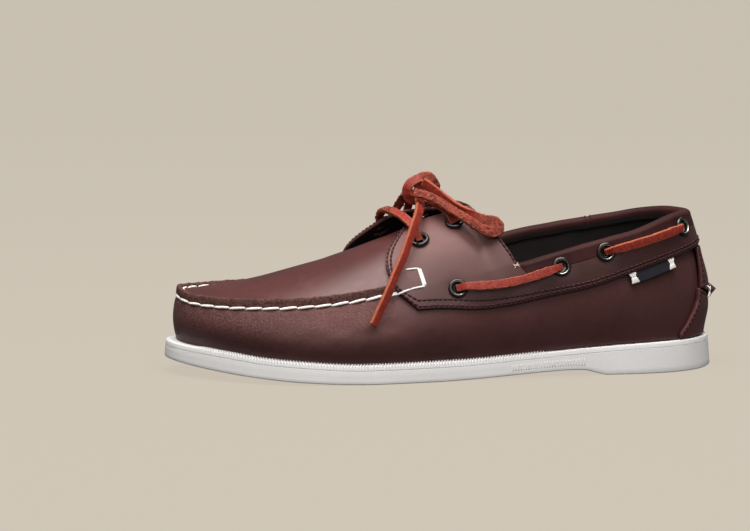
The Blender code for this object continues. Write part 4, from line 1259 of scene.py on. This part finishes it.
def on_band(side, x, z, rise):
    """Points over the saddle's band on one side, and their normals."""
    x, z, rise = np.broadcast_arrays(np.atleast_1d(x).astype(float), z, rise)
    places = place_at(x, side)
    levels = level_at(places, z)
    normal = skin_normals(places, levels)
    return skin(places, levels) + normal * (OVERLAY_GAP + OVERLAY + rise)[:, None], normal


def on_instep(x, across, rise):
    """Points over the wings' faces, across from -1 to 1, and their normals."""
    x, across, rise = np.broadcast_arrays(np.atleast_1d(x).astype(float), across, rise)
    places = place_at(x, -1)
    step = 0.02
    run = instep(places - 0.004, across) - instep(places + 0.004, across)
    over = instep(places, across + step) - instep(places, across - step)
    normal = unit(np.cross(run, over))
    off = OVERLAY_GAP + lift(x, across) + OVERLAY + rise
    return instep(places, across) + normal * off[:, None], normal


def eyelet_places(side):
    """Name, centre and normal of each eyelet of one side, on the leather's face."""
    found = []
    for number, (x, z) in enumerate(SIDE_EYELETS[side], 1):
        point, normal = on_band(side, x, z, 0.0)
        found.append((f"eyelet_side_{SIDES[side]}_{number}", point[0], normal[0]))
    for number, (x, across) in enumerate(THROAT_EYELETS[side], 1):
        point, normal = on_instep(x, side * across, 0.0)
        found.append((f"eyelet_throat_{SIDES[side]}_{number}", point[0], normal[0]))
    return found


HOLE_RADIUS = 3.7
PRESS_DEPTH, PRESS_RADIUS, PRESS_WIDTH = 0.35, 4.2, 2.6  # of the leather round an eyelet


def pressed(points, side):
    """How far the eyelets of one side press the leather in round them."""
    depth = np.zeros(points.shape[:-1])
    for _, centre, _ in eyelet_places(side):
        away = np.linalg.norm(points - centre, axis=-1)
        depth -= PRESS_DEPTH * hump(away, PRESS_RADIUS, PRESS_WIDTH)
    return depth


def punched(faces, points, sides):
    """The faces that lie clear of the eyelets' holes on these sides."""
    middle = points.reshape(-1, 3)[np.array(faces)].mean(axis=1)
    keep = np.ones(len(faces), bool)
    for side in sides:
        for _, centre, _ in eyelet_places(side):
            keep &= np.linalg.norm(middle - centre, axis=1) > HOLE_RADIUS
    return [face for face, kept in zip(faces, keep) if kept]


def make_saddle(side, finish, lining):
    """Wing and collar band in one leather piece, with cut edges and punched holes."""
    places, levels, off = saddle_grid(side)
    base, _ = off_skin(places, levels, off)
    low, high, front, _ = edge_distance(base)
    face = rounded(np.minimum.reduce((low, high, front)), OVERLAY)
    folds = wing_folds(side, base, levels)
    outer, normals = off_skin(places, levels, off + face + folds + pressed(base, side))
    inner, _ = off_skin(places, levels, off + folds * 0.5)
    faces = punched(grid_faces(*places.shape, flip=side > 0), outer, [side])
    name = f"saddle_{SIDES[side]}"
    # The levels also set the leather's painted shade, darker on the band than on the wing.
    make_sheet(name + "_leather", outer, inner, faces, [finish, lining], [name], level=levels)
    return outer, grid_normals(outer, normals), (low, high, front)


DARK_PITCH, DARK_THICKNESS = 2.75, 1.1
DARK_SHARE = 0.76  # of the pitch that a stitch covers


def along_edge(distance, depth, *fields):
    """Points or other fields along a line that keeps a depth from an edge.

    Each row of distance runs away from the edge. Rows that end before the depth are left out.
    """
    depths = np.broadcast_to(depth, len(distance))
    found = [[[np.interp(want, row, column) for column in field[k].T] for field in fields]
             for k, (row, want) in enumerate(zip(distance, depths)) if row[-1] >= want]
    return [np.array(rows) for rows in zip(*found)]


def dark_run(path, looks):
    """Dark stitches at their pitch along a path."""
    path, looks = respaced(path, 0.5, looks)
    return running_stitch(path, unit(looks), DARK_PITCH, DARK_SHARE)


def dark_thread(name, rows, finish):
    thread(name, rows, finish, DARK_THICKNESS, bury=0.2, rise=0.22, sides=5)


def double_row(side, surface, finish):
    """Two rows of dark stitches inside the saddle's lower and front edges."""
    grid, normals, (low, _, front) = surface
    across = [field.swapaxes(0, 1) for field in (front, grid, normals, low[..., None])]
    rows = []
    for near, far, front_in in ((1.4, 1.5, 1.1), (4.6, 3.1, 3.0)):
        depth = near + (far - near) * ease(-10, 70, grid[:, 0, 0])
        path, looks, clear = along_edge(low, depth, grid, normals, front[..., None])
        keep = clear[:, 0] > front_in
        up_path, up_looks, clear = along_edge(across[0], front_in, *across[1:])
        up_keep = clear[:, 0] > near
        rows += dark_run(np.vstack([up_path[up_keep][::-1], path[keep]]),
                         np.vstack([up_looks[up_keep][::-1], looks[keep]]))
    dark_thread(f"saddle_rows_{SIDES[side]}", rows, finish)


WING_REAR = {-1: (9.0, 33.6), 1: (9.5, 39.0)}  # x where its row of stitches starts and ends


def wing_rear_row(side, surface, finish, pale):
    """One dark row down the wing's rear edge, ending in a short pale bar of stitches."""
    grid, normals, (_, high, _) = surface
    first, last = np.searchsorted(grid[:, -1, 0], WING_REAR[side])
    inward = np.s_[first:last, ::-1]
    path, looks = along_edge(high[inward], 1.9, grid[inward], normals[inward])
    path, looks = respaced(path, 0.5, looks)
    rows = running_stitch(path, unit(looks), DARK_PITCH, 0.84)
    dark_thread(f"wing_row_{SIDES[side]}", rows, finish)
    end, look = path[-1], unit(looks[-1])
    run = unit(path[-1] - path[-4])
    across = np.cross(look, run) * 1.5
    rows = [(end + run * start - across, end + run * stop + across, look)
            for start, stop in ((-1.3, 1.6), (-0.2, 0.3), (1.2, -1.0))]
    thread(f"wing_bar_{SIDES[side]}", rows, pale, 0.55, bury=0.15, rise=0.2,
           sides=5)


# Corners of the box stitch by x and height.
BOX_STITCH = {-1: ((-24.4, 56.9), (-17.6, 57.3), (-15.2, 48.8), (-23.0, 47.4)),
              1: ((-33.0, 56.0), (-26.0, 58.0), (-22.0, 50.0), (-31.0, 47.6))}
BOX_RUN = {-1: (-29.4, 45.2), 1: (-38.0, 45.6)}  # where the same thread leaves the wing


def on_wing(side, x, z, rise=0.0):
    """Point and normal on the saddle near the rail, found by its height."""
    levels = np.linspace(0.4, 1.7, 200)
    places = np.full(200, float(place_at(x, side)))
    off = OVERLAY_GAP + OVERLAY + lift(x, side * (2 - np.maximum(levels, 1.0))) + rise
    points, normals = off_skin(places, levels, off)
    index = int(np.argmin(np.abs(points[:, 2] - z)))
    return points[index], normals[index]


def make_box_stitch(side, finish):
    """The seam's thread where it crosses the saddle: a box with one thick side."""
    x, z = BOX_RUN[side]
    corners = [on_wing(side, *corner) for corner in (*BOX_STITCH[side], (x, z))]
    corners.append(on_wing(side, x - 5.2, z - 1.4, -1.2))
    rows = []
    for k, ((start, one), (end, two)) in enumerate(zip(corners, corners[1:])):
        normal = unit(one + two)
        across = unit(np.cross(normal, end - start))
        for shift in (-0.55, 0.0, 0.55) if k == 1 else (0.0,):
            rows.append((start + across * shift, end + across * shift, normal))
    thread(f"box_stitch_{SIDES[side]}", rows, finish, 1.05, bury=0.3, rise=0.32)


# ---------------------------------------------------------------- eyelets and tied lace

EYELET_PROFILE = (  # radius, height over the leather, how bare the enamel is
    (0.0, -1.5, 0.0), (2.6, -1.5, 0.0), (3.1, -1.3, 0.0), (3.2, -0.4, 0.15), (3.22, 0.5, 0.9),
    (3.4, 0.95, 1.0), (3.7, 1.2, 0.55), (4.1, 1.32, 0.1), (4.5, 1.2, 0.0), (4.9, 0.8, 0.0),
    (5.1, 0.3, 0.0), (5.05, -0.1, 0.0), (4.4, -0.25, 0.0), (3.6, -1.2, 0.0), (3.4, -1.7, 0.0),
    (0.0, -1.8, 0.0),
)
EYELET_SEGMENTS = 44


def make_eyelets(finish):
    """Rolled rings, each turned round the normal of the leather at its hole."""
    turn = np.arange(EYELET_SEGMENTS) * 2 * np.pi / EYELET_SEGMENTS
    profile = np.array(EYELET_PROFILE)
    for side in SIDES:
        for name, centre, normal in eyelet_places(side):
            wide = unit(np.cross(normal, (0.1, 0.2, 1.0)))
            tall = np.cross(normal, wide)
            circle = np.cos(turn)[:, None] * wide + np.sin(turn)[:, None] * tall
            points = (centre + circle[:, None] * profile[None, :, :1]
                      + normal * profile[None, :, 1:2])
            faces = grid_faces(*points.shape[:2], round_rows=True, flip=True)
            made = make_piece(name + "_ring", points.reshape(-1, 3), faces, [finish],
                              [name],
                              layers={"bare": np.tile(profile[:, 2], EYELET_SEGMENTS)})
            merge_poles(made)


def merge_poles(made):
    """Points of a turned piece that fall together on its axis become one."""
    work = bmesh.new()
    work.from_mesh(made.data)
    bmesh.ops.remove_doubles(work, verts=work.verts, dist=1e-6)
    work.to_mesh(made.data)
    work.free()


BARS = {"front": (0, 1), "rear": (2, 3)}  # the side eyelets that each passes through
BAR_SAG = {"front": 3.0, "rear": 0.5}
BAR_STEPS = 90
BAR_LEAN = {"front": 0.05, "rear": 0.3}  # how far the lace's face turns down
CROSSINGS = {"front": (0.0, 0.0), "rear": (2.2, 4.0)}  # how far each rises and bows forward
CROSSING_LENGTH = 48.0
CROSSING_REAR_WIDTH = 5.4
HOLE_DEPTH = -1.0  # a lace's end inside an eyelet
OVER_RIM = 3.6


def through_holes(points_at, length):
    """Rises along a bar that comes up out of one eyelet and goes down into the next."""
    share = np.linspace(0, 1, BAR_STEPS)
    inner = np.minimum(share, 1 - share) * length
    rise = HOLE_DEPTH + (OVER_RIM - HOLE_DEPTH) * ease(-0.6, 4.6, inner) ** 0.8
    points, normals = points_at(share, rise)
    taper = 0.72 + 0.28 * ease(0.0, 9.0, inner)
    return points, normals, taper


def make_bars(finish):
    """Lace bars outside the band, through the first and second eyelets and so on."""
    for side, label in SIDES.items():
        for name, holes in BARS.items():
            (x0, z0), (x1, z1) = (SIDE_EYELETS[side][hole] for hole in holes)

            def points_at(share, rise):
                z = z0 + (z1 - z0) * share - BAR_SAG[name] * np.sin(np.pi * share)
                return on_band(side, x0 + (x1 - x0) * share, z, rise)

            points, normals, taper = through_holes(points_at, math.dist((x0, z0), (x1, z1)))
            lean = (0, 0, BAR_LEAN[name])
            thong_mesh(f"bar_{name}_{label}", points, unit(normals - lean), BAR_WIDTH, 2.5,
                       finish, [f"lace_bar_{name}_{label}"], taper)


def make_crossings(finish):
    """Lace over the tongue between the throat eyelets; the rear one carries the knot."""
    pairs = zip(THROAT_EYELETS[-1], THROAT_EYELETS[1])
    for (start, end), (name, (extra, bow)) in zip(pairs, CROSSINGS.items()):
        def points_at(share, rise):
            middle = np.sin(np.pi * share) ** 2
            x = start[0] + (end[0] - start[0]) * share - bow * middle
            across = -start[1] + (end[1] + start[1]) * share
            return on_instep(x, across, rise + extra * middle)

        points, normals, taper = through_holes(points_at, CROSSING_LENGTH)
        width, flesh = BAR_WIDTH, (0.45, 1.0)
        if name == "rear":
            width, flesh, taper = CROSSING_REAR_WIDTH, (1.0, 1.0), 1.0
        thong_mesh(f"crossing_{name}", points, normals, width, 2.4, finish,
                   [f"lace_crossing_{name}"], taper, flesh)


# ---------------------------------------------------------------- tongue, collar, footbed

TONGUE = ((-24.0, 0.62), (-16.0, 0.64), (-8.0, 0.64), (0.0, 0.62), (6.0, 0.58), (11.0, 0.5),
          (14.5, 0.36), (16.5, 0.18))  # x, half width as a share of the instep's
TONGUE_THICKNESS = 2.6


def make_tongue(finish, lining):
    """Tongue under the wings, with a rounded edge and a line pressed in beside it."""
    table = np.array(TONGUE)
    xs = np.linspace(table[0, 0], table[-1, 0], 60)
    halves = steady(table[:, 0], table[:, 1], xs)
    share = np.linspace(-1, 1, 41)
    places = np.repeat(place_at(xs, -1)[:, None], len(share), axis=1)
    across = halves[:, None] * share
    outer, inner = (
        instep(places.ravel(), across.ravel(), inset, inset).reshape(*places.shape, 3)
        for inset in (INSIDE, INSIDE + TONGUE_THICKNESS))
    low, high, _, rear = edge_distance(outer)
    near = np.minimum.reduce((low, high, rear))
    outer[..., 2] += rounded(near, 0.0) - 0.2 * hump(near, 2.4, 0.5)
    # Its level of 1 gives it part of the saddle leather's painted shade.
    make_sheet("tongue_leather", outer, inner, grid_faces(*places.shape), [finish, lining],
               ["tongue"], level=1.0)


COLLAR_ENDS = {-1: 30.0, 1: 33.0}  # x where it starts on each side
COLLAR_OFF = 2.42  # the sheet's face over the wall, just over the band's face
COLLAR_LIP, COLLAR_TURN = 8.3, 2.6  # below the rail: its outer edge and where it rolls inward
COLLAR_ROLL = 18  # steps round the roll
COLLAR_JOIN = 86.0  # x of its join on the medial side
LINING_FROM = 4.2  # below the rail, inside


def make_collar(finish, lining, dark):
    """Padded collar: one soft sheet from over the band, rolled inward to the lining."""
    places = np.linspace(place_at(COLLAR_ENDS[-1], -1), place_at(COLLAR_ENDS[1], 1) - 2, 520)
    rail = rails(places)[1]
    out = outward(places, RAIL_XY)
    shown = ease(33.5, 39.5, rail[:, 0])[:, None]
    off = 0.2 + (COLLAR_OFF - 0.2) * shown
    lines = np.concatenate([[COLLAR_LIP, COLLAR_LIP - 0.12, COLLAR_LIP - 0.4],
                            np.linspace(COLLAR_LIP - 0.9, COLLAR_TURN, 10)])
    grid, below_rail = [], list(lines)
    for below in lines:
        wall = side_wall(places, level_at(places, rail[:, 2] - below))
        grid.append(wall + out * (off - 0.16 * hump(below, COLLAR_LIP, 0.25)))
    reach = np.sum((grid[-1] - rail) * out, axis=1, keepdims=True)
    inward = -2.4 - 0.9 * shown
    middle, half = (reach + inward) / 2, (reach - inward) / 2
    for turn in np.linspace(0, np.pi, COLLAR_ROLL + 1)[1:]:
        up = -COLLAR_TURN + COLLAR_TURN * math.sin(turn)
        grid.append(rail + out * (middle + half * math.cos(turn)) + (0, 0, up))
        below_rail.append(-up)
    for below, share in ((3.4, 0.05), (LINING_FROM, 0.15), (5.0, 0.4), (6.0, 0.75), (7.4, 1.0)):
        grid.append(rail + out * (inward + 0.75 * share) - (0, 0, below))
        below_rail.append(below)
    grid = np.stack(grid, axis=1)
    towards = grid - (rail - (0, 0, 4.0))[:, None] - out[:, None] * 0.2
    normals = grid_normals(grid, towards)
    along = path_length(rail)[:, None]
    puff = 0.07 * np.sin(along / 7.0) + 0.05 * np.sin(along / 3.1 + 2)
    inner_part = np.arange(grid.shape[1]) > len(lines)
    puff = puff * hump(np.array(below_rail), 0.5, 2.4)
    join = hump(places, place_at(COLLAR_JOIN, 1) - 2, 0.0022)[:, None]
    dents = -0.32 * join * ease(LINING_FROM + 0.3, 2.0, np.array(below_rail) * inner_part)
    dents = dents + pressed(grid, -1) + pressed(grid, 1)
    outer = grid + normals * (puff + dents)[..., None]
    thick = np.full(grid.shape[1], 0.9)
    thick[:4] = 0.15, 0.3, 0.5, 0.75
    inner = outer - normals * thick[:, None]
    faces = punched(grid_faces(*grid.shape[:2]), outer, SIDES)
    made = make_sheet("collar_sheet", outer, inner, faces, [finish, lining],
                      ["collar_binding"], level=1.0)
    lined = len(lines) + COLLAR_ROLL + 1
    for k, face in enumerate(made.data.polygons):
        inside = min(face.vertices) % grid.shape[1] >= lined
        face.material_index = int(k < 2 * len(faces) and inside)
    spot = int(np.argmax(join))
    rows = [(outer[at, line], outer[at, line + 2], normals[at, line + 1])
            for line in range(len(lines) + 1, len(lines) + COLLAR_ROLL, 3)
            for at in (spot - 3, spot + 3)]
    thread("collar_join_rows", rows, dark, 0.6, bury=0.15, rise=0.2, sides=5)


FOOTBED_STATIONS = 240
FOOTBED_THICKNESS = 3.0


def make_footbed(finish):
    """Footbed inside, a little dished along its middle."""
    places = np.arange(FOOTBED_STATIONS) * 2.0 / FOOTBED_STATIONS
    foot = side_wall(places, 0.0, INSIDE)
    middle = foot.mean(axis=0)
    rings = []
    for inset, up in ((0.0, 0.0), (0.0, 2.2), (0.5, 2.75), (1.4, FOOTBED_THICKNESS),
                      (3.5, FOOTBED_THICKNESS)):
        ring = side_wall(places, 0.0, INSIDE + inset)
        ring[:, 2] = foot[:, 2] + up
        rings.append(ring)
    for share in (0.72, 0.45, 0.2):
        ring = rings[4].copy()
        ring[:, 1] = middle[1] * (1 - share) + ring[:, 1] * share
        ring[:, 2] = (height(SOLE_TOP, ring[:, 0]) + GAP + FOOTBED_THICKNESS
                      - 0.5 * (1 - share))
        rings.append(ring)
    make_piece("footbed", np.vstack(rings), stacked_faces(len(rings), FOOTBED_STATIONS),
               [finish], ["insole"])


# ---------------------------------------------------------------- heel and label

# Sizes along the heel are in places, from its middle.
COUNTER_TOP = ((0.0, 37.0), (0.028, 39.2), (0.056, 42.8), (0.0635, 36.4), (0.078, 30.6),
               (0.094, 24.9), (0.112, 19.6))
COUNTER_PUFF, STRAP_PUFF = 1.5, 1.7
STRAP_REACH = 0.048
STRAP_RISE, STRAP_HIGH = 1.0, 63.4
TAB_REACH = 0.022
TAB_LOW, TAB_HIGH = 37.2, 43.0
TAB_DEPTH = 3.4
CROSS_PLACES, CROSS_HEIGHTS = (0.019, 0.033), (37.0, 42.8)  # of the crossed stitches


def counter_top(places):
    """Height of the heel counter's upper edge by place."""
    return np.interp(np.abs(places), *np.array(COUNTER_TOP).T)


def heel_patch(name, reach, low_z, high_z, off, face, finish, count=60, narrow=1.0):
    """A leather piece over the back of the heel, with rounded cut edges.

    low_z and high_z give its edges' heights by place, and face the height of its face by
    place and height over the floor. narrow is its width at the top as a share of that below.
    """
    places = np.linspace(-reach, reach, count)
    low, high = low_z(places), high_z(places)
    share = edge_shares(np.maximum(high - low, 2.6), 26)
    grid = places[:, None] * (1 + (narrow - 1) * share)
    low, high = low_z(grid.ravel()), high_z(grid.ravel())
    z = low + (high - low) * share.ravel()
    levels = level_at(grid.ravel(), z).reshape(grid.shape)
    base, _ = off_skin(grid, levels, off)
    distances = edge_distance(base)
    rise = rounded(np.minimum.reduce(distances), OVERLAY) + face(grid, z.reshape(grid.shape))
    outer, normals = off_skin(grid, levels, off + rise)
    make_sheet(name + "_leather", outer, off_skin(grid, levels, off)[0],
               grid_faces(*grid.shape, flip=True), [finish], [name])
    return outer, grid_normals(outer, normals), distances


def make_heel(finish, white, dark):
    """Counter, strap and tab up the back of the heel, with their stitches."""
    def at_height(z):
        return lambda places: np.full(np.shape(places), z)

    def counter_low(places):
        return height(SOLE_TOP, skin(places, 0.0)[:, 0]) + 1.0

    def strap_low(places):
        return counter_top(places) + STRAP_RISE

    def counter_face(places, z):
        return COUNTER_PUFF * hump(z, 32.0, 8.5) * hump(places, 0.0, 0.075)

    def strap_face(places, z):
        return STRAP_PUFF * (1 - ease(43.0, 60.0, z)) * hump(places, 0.0, 0.05)

    def tab_face(places, z):
        middle = (TAB_LOW + TAB_HIGH) / 2
        point = 1 - np.abs(z - middle) / (TAB_HIGH - middle)
        return 0.2 + TAB_DEPTH * np.clip(point, 0, 1) * (1 - 0.5 * (places / TAB_REACH) ** 2)

    over = 2 * OVERLAY_GAP + OVERLAY
    counter = heel_patch("heel_counter", COUNTER_TOP[-1][0], counter_low, counter_top,
                         OVERLAY_GAP, counter_face, finish, count=140)
    strap = heel_patch("heel_strap", STRAP_REACH, strap_low, at_height(STRAP_HIGH),
                       OVERLAY_GAP, strap_face, finish, narrow=0.72)
    heel_patch("heel_tab", TAB_REACH, at_height(TAB_LOW), at_height(TAB_HIGH), over, tab_face,
               finish)
    rows = []
    grid, normals, distances = strap
    for distance, step in ((distances[2], 1), (distances[3], -1)):
        fields = [field[::step].swapaxes(0, 1) for field in (grid, normals)]
        path, looks = along_edge(distance[::step].T, 1.3, *fields)
        rows += running_stitch(path, unit(looks), DARK_PITCH, DARK_SHARE)
    grid, normals, distances = counter
    rows += dark_run(*along_edge(distances[1][:, ::-1], 1.5, grid[:, ::-1], normals[:, ::-1]))
    dark_thread("heel_rows", rows, dark)
    rows = []
    z = np.array(CROSS_HEIGHTS)
    for sign in SIDES:
        for places in (np.array(CROSS_PLACES) * sign, np.array(CROSS_PLACES[::-1]) * sign):
            off = over + strap_face(places, z) + 0.3
            (start, end), looks = off_skin(places, level_at(places, z), off)
            rows.append((start, end, unit(looks[0] + looks[1])))
    thread("heel_tab_stitches", rows, white, 1.1, bury=0.3, rise=0.35)


LABEL_ENDS = ((90.2, 53.6), (113.6, 60.6))  # of its top edge, by x and height
LABEL_DROP = 5.9


def make_label(tape, white):
    """A short folded tape sewn under the band's edge, with plain white end tacks."""
    (x0, z0), (x1, z1) = LABEL_ENDS
    along = np.linspace(0, 1, 60)
    down = np.linspace(0, 1, 18)
    x = x0 + (x1 - x0) * along[:, None] + 1.6 * down * (1 - along[:, None] * 1.2)
    z = z0 + (z1 - z0) * along[:, None] - LABEL_DROP * down
    z = z - 0.3 * np.sin(along[:, None] * 5) * down
    places = place_at(x, -1)
    levels = level_at(places.ravel(), z.ravel()).reshape(z.shape)
    lifted = 0.45 + 0.9 * down + 0.35 * np.sin(along[:, None] * 4.0) * down
    outer, normals = off_skin(places, levels, lifted + 0.75)
    inner, _ = off_skin(places, levels, lifted)
    make_sheet("side_label", outer, inner, grid_faces(*places.shape, flip=True), [tape],
               slot="woven_label")
    rows = []
    for column in (5, -6):
        top, bottom = outer[column, 0], outer[column, -1]
        run = unit(outer[column + 2, 8] - outer[column - 2, 8])
        normal = unit(normals[column, 8])
        waist = (top + bottom) / 2 + normal * 0.15
        for k in np.linspace(-1, 1, 7):
            for end in (top, bottom):
                rows.append((end + run * k * 2.0, waist + run * k * 1.0, normal))
    thread("label_tacks", rows, white, 0.75, bury=0.1, rise=0.14, sides=6)


# ---------------------------------------------------------------- the making

# The floor's sizes are in metres.
FLOOR_HALF, FLOOR_NEAR, FLOOR_REAR, FLOOR_TOP = 6, -7, 2.0, 6
FLOOR_STEPS = 12  # of the sweep from the floor up into the wall


def make_stage():
    """Pale floor, swept up into a wall behind."""
    turns = [k / FLOOR_STEPS * math.pi / 2 for k in range(1, FLOOR_STEPS + 1)]
    profile = [(FLOOR_NEAR, 0), (FLOOR_REAR, 0),
               *((FLOOR_REAR + math.sin(turn), 1 - math.cos(turn)) for turn in turns),
               (FLOOR_REAR + 1, FLOOR_TOP)]
    points = [(x, y, z) for y, z in profile for x in (-FLOOR_HALF, FLOOR_HALF)]
    faces = [(k, k + 1, k + 3, k + 2) for k in range(0, len(points) - 2, 2)]
    floor = bpy.data.meshes.new("floor")
    floor.from_pydata(points, [], faces)
    floor.polygons.foreach_set("use_smooth", [True] * len(floor.polygons))
    dim = tuple(FLOOR_SHADE * c for c in linear(*FLOOR_COLOUR))
    plain = Finish("pale_floor", 0.9, Base_Color=(*dim, 1.0), Specular_IOR_Level=0.0,
                   Emission_Color=FLOOR_COLOUR, Emission_Strength=FLOOR_GLOW)
    floor.materials.append(plain.material)
    made = bpy.data.objects.new("floor", floor)
    bpy.context.scene.collection.objects.link(made)
    made.visible_diffuse = False
    made.visible_glossy = False


def make_light():
    """Three lamps and an even light from all round."""
    world = bpy.data.worlds.new("studio")
    world.use_nodes = True
    background = world.node_tree.nodes["Background"]
    background.inputs["Color"].default_value = (1.0, 0.99, 0.98, 1)
    background.inputs["Strength"].default_value = SURROUNDINGS
    bpy.context.scene.world = world
    for lamp in LAMPS:
        area_light(*lamp)
    bpy.context.scene.view_settings.view_transform = "Standard"


make_camera()
THONG = thong_finish()
RUBBER = rubber_finish()
LINING = lining_finish()
# The saddle leather is set lighter than the rest, a painted highlight for the top light on its
# wing, and the collar leather darker, painted shade; foot and rise set the painted shade towards
# the sole.
QUARTER_LEATHER = leather("quarter_leather", (89, 53, 51), (70, 42, 41), shine=0.36,
                          foot=0.58, seam=True)
PLUG_LEATHER = leather("plug_leather", (80, 38, 35), (62, 30, 28), roughness=0.42, shine=0.6)
SADDLE_LEATHER = leather("saddle_leather", (106, 68, 64), (86, 53, 50), shine=0.38,
                         foot=0.34, rise=(0.7, 1.4))
COLLAR_LEATHER = leather("collar_leather", (60, 31, 29), (45, 22, 21), roughness=0.6,
                         shine=0.15, foot=0.4)
HEEL_LEATHER = leather("heel_leather", (80, 44, 43), (62, 33, 33), shine=0.36)
SUEDE = ridge_finish()
WHITE_THREAD = thread_finish("white_thread", (250, 246, 240), (222, 210, 198))
PALE_THREAD = thread_finish("pale_thread", (214, 190, 172), (160, 128, 110))
DARK_THREAD = thread_finish("dark_thread", (74, 25, 29), (36, 12, 15))
ENAMEL = enamel_finish()
make_free_lace(THONG)
make_sole(RUBBER)
make_teeth(RUBBER)
make_wall_ribs(RUBBER)
make_quarters(QUARTER_LEATHER, LINING)
make_plug(PLUG_LEATHER)
make_ridge(SUEDE)
make_seam_stitches(WHITE_THREAD)
for flank in SIDES:
    surface = make_saddle(flank, SADDLE_LEATHER, LINING)
    double_row(flank, surface, DARK_THREAD)
    wing_rear_row(flank, surface, DARK_THREAD, PALE_THREAD)
    make_box_stitch(flank, WHITE_THREAD)
make_eyelets(ENAMEL)
make_bars(THONG)
make_crossings(THONG)
make_tongue(SADDLE_LEATHER, LINING)
make_collar(COLLAR_LEATHER, LINING, DARK_THREAD)
make_footbed(LINING)
make_heel(HEEL_LEATHER, WHITE_THREAD, DARK_THREAD)
make_label(tape_finish(), WHITE_THREAD)
make_stage()
make_light()
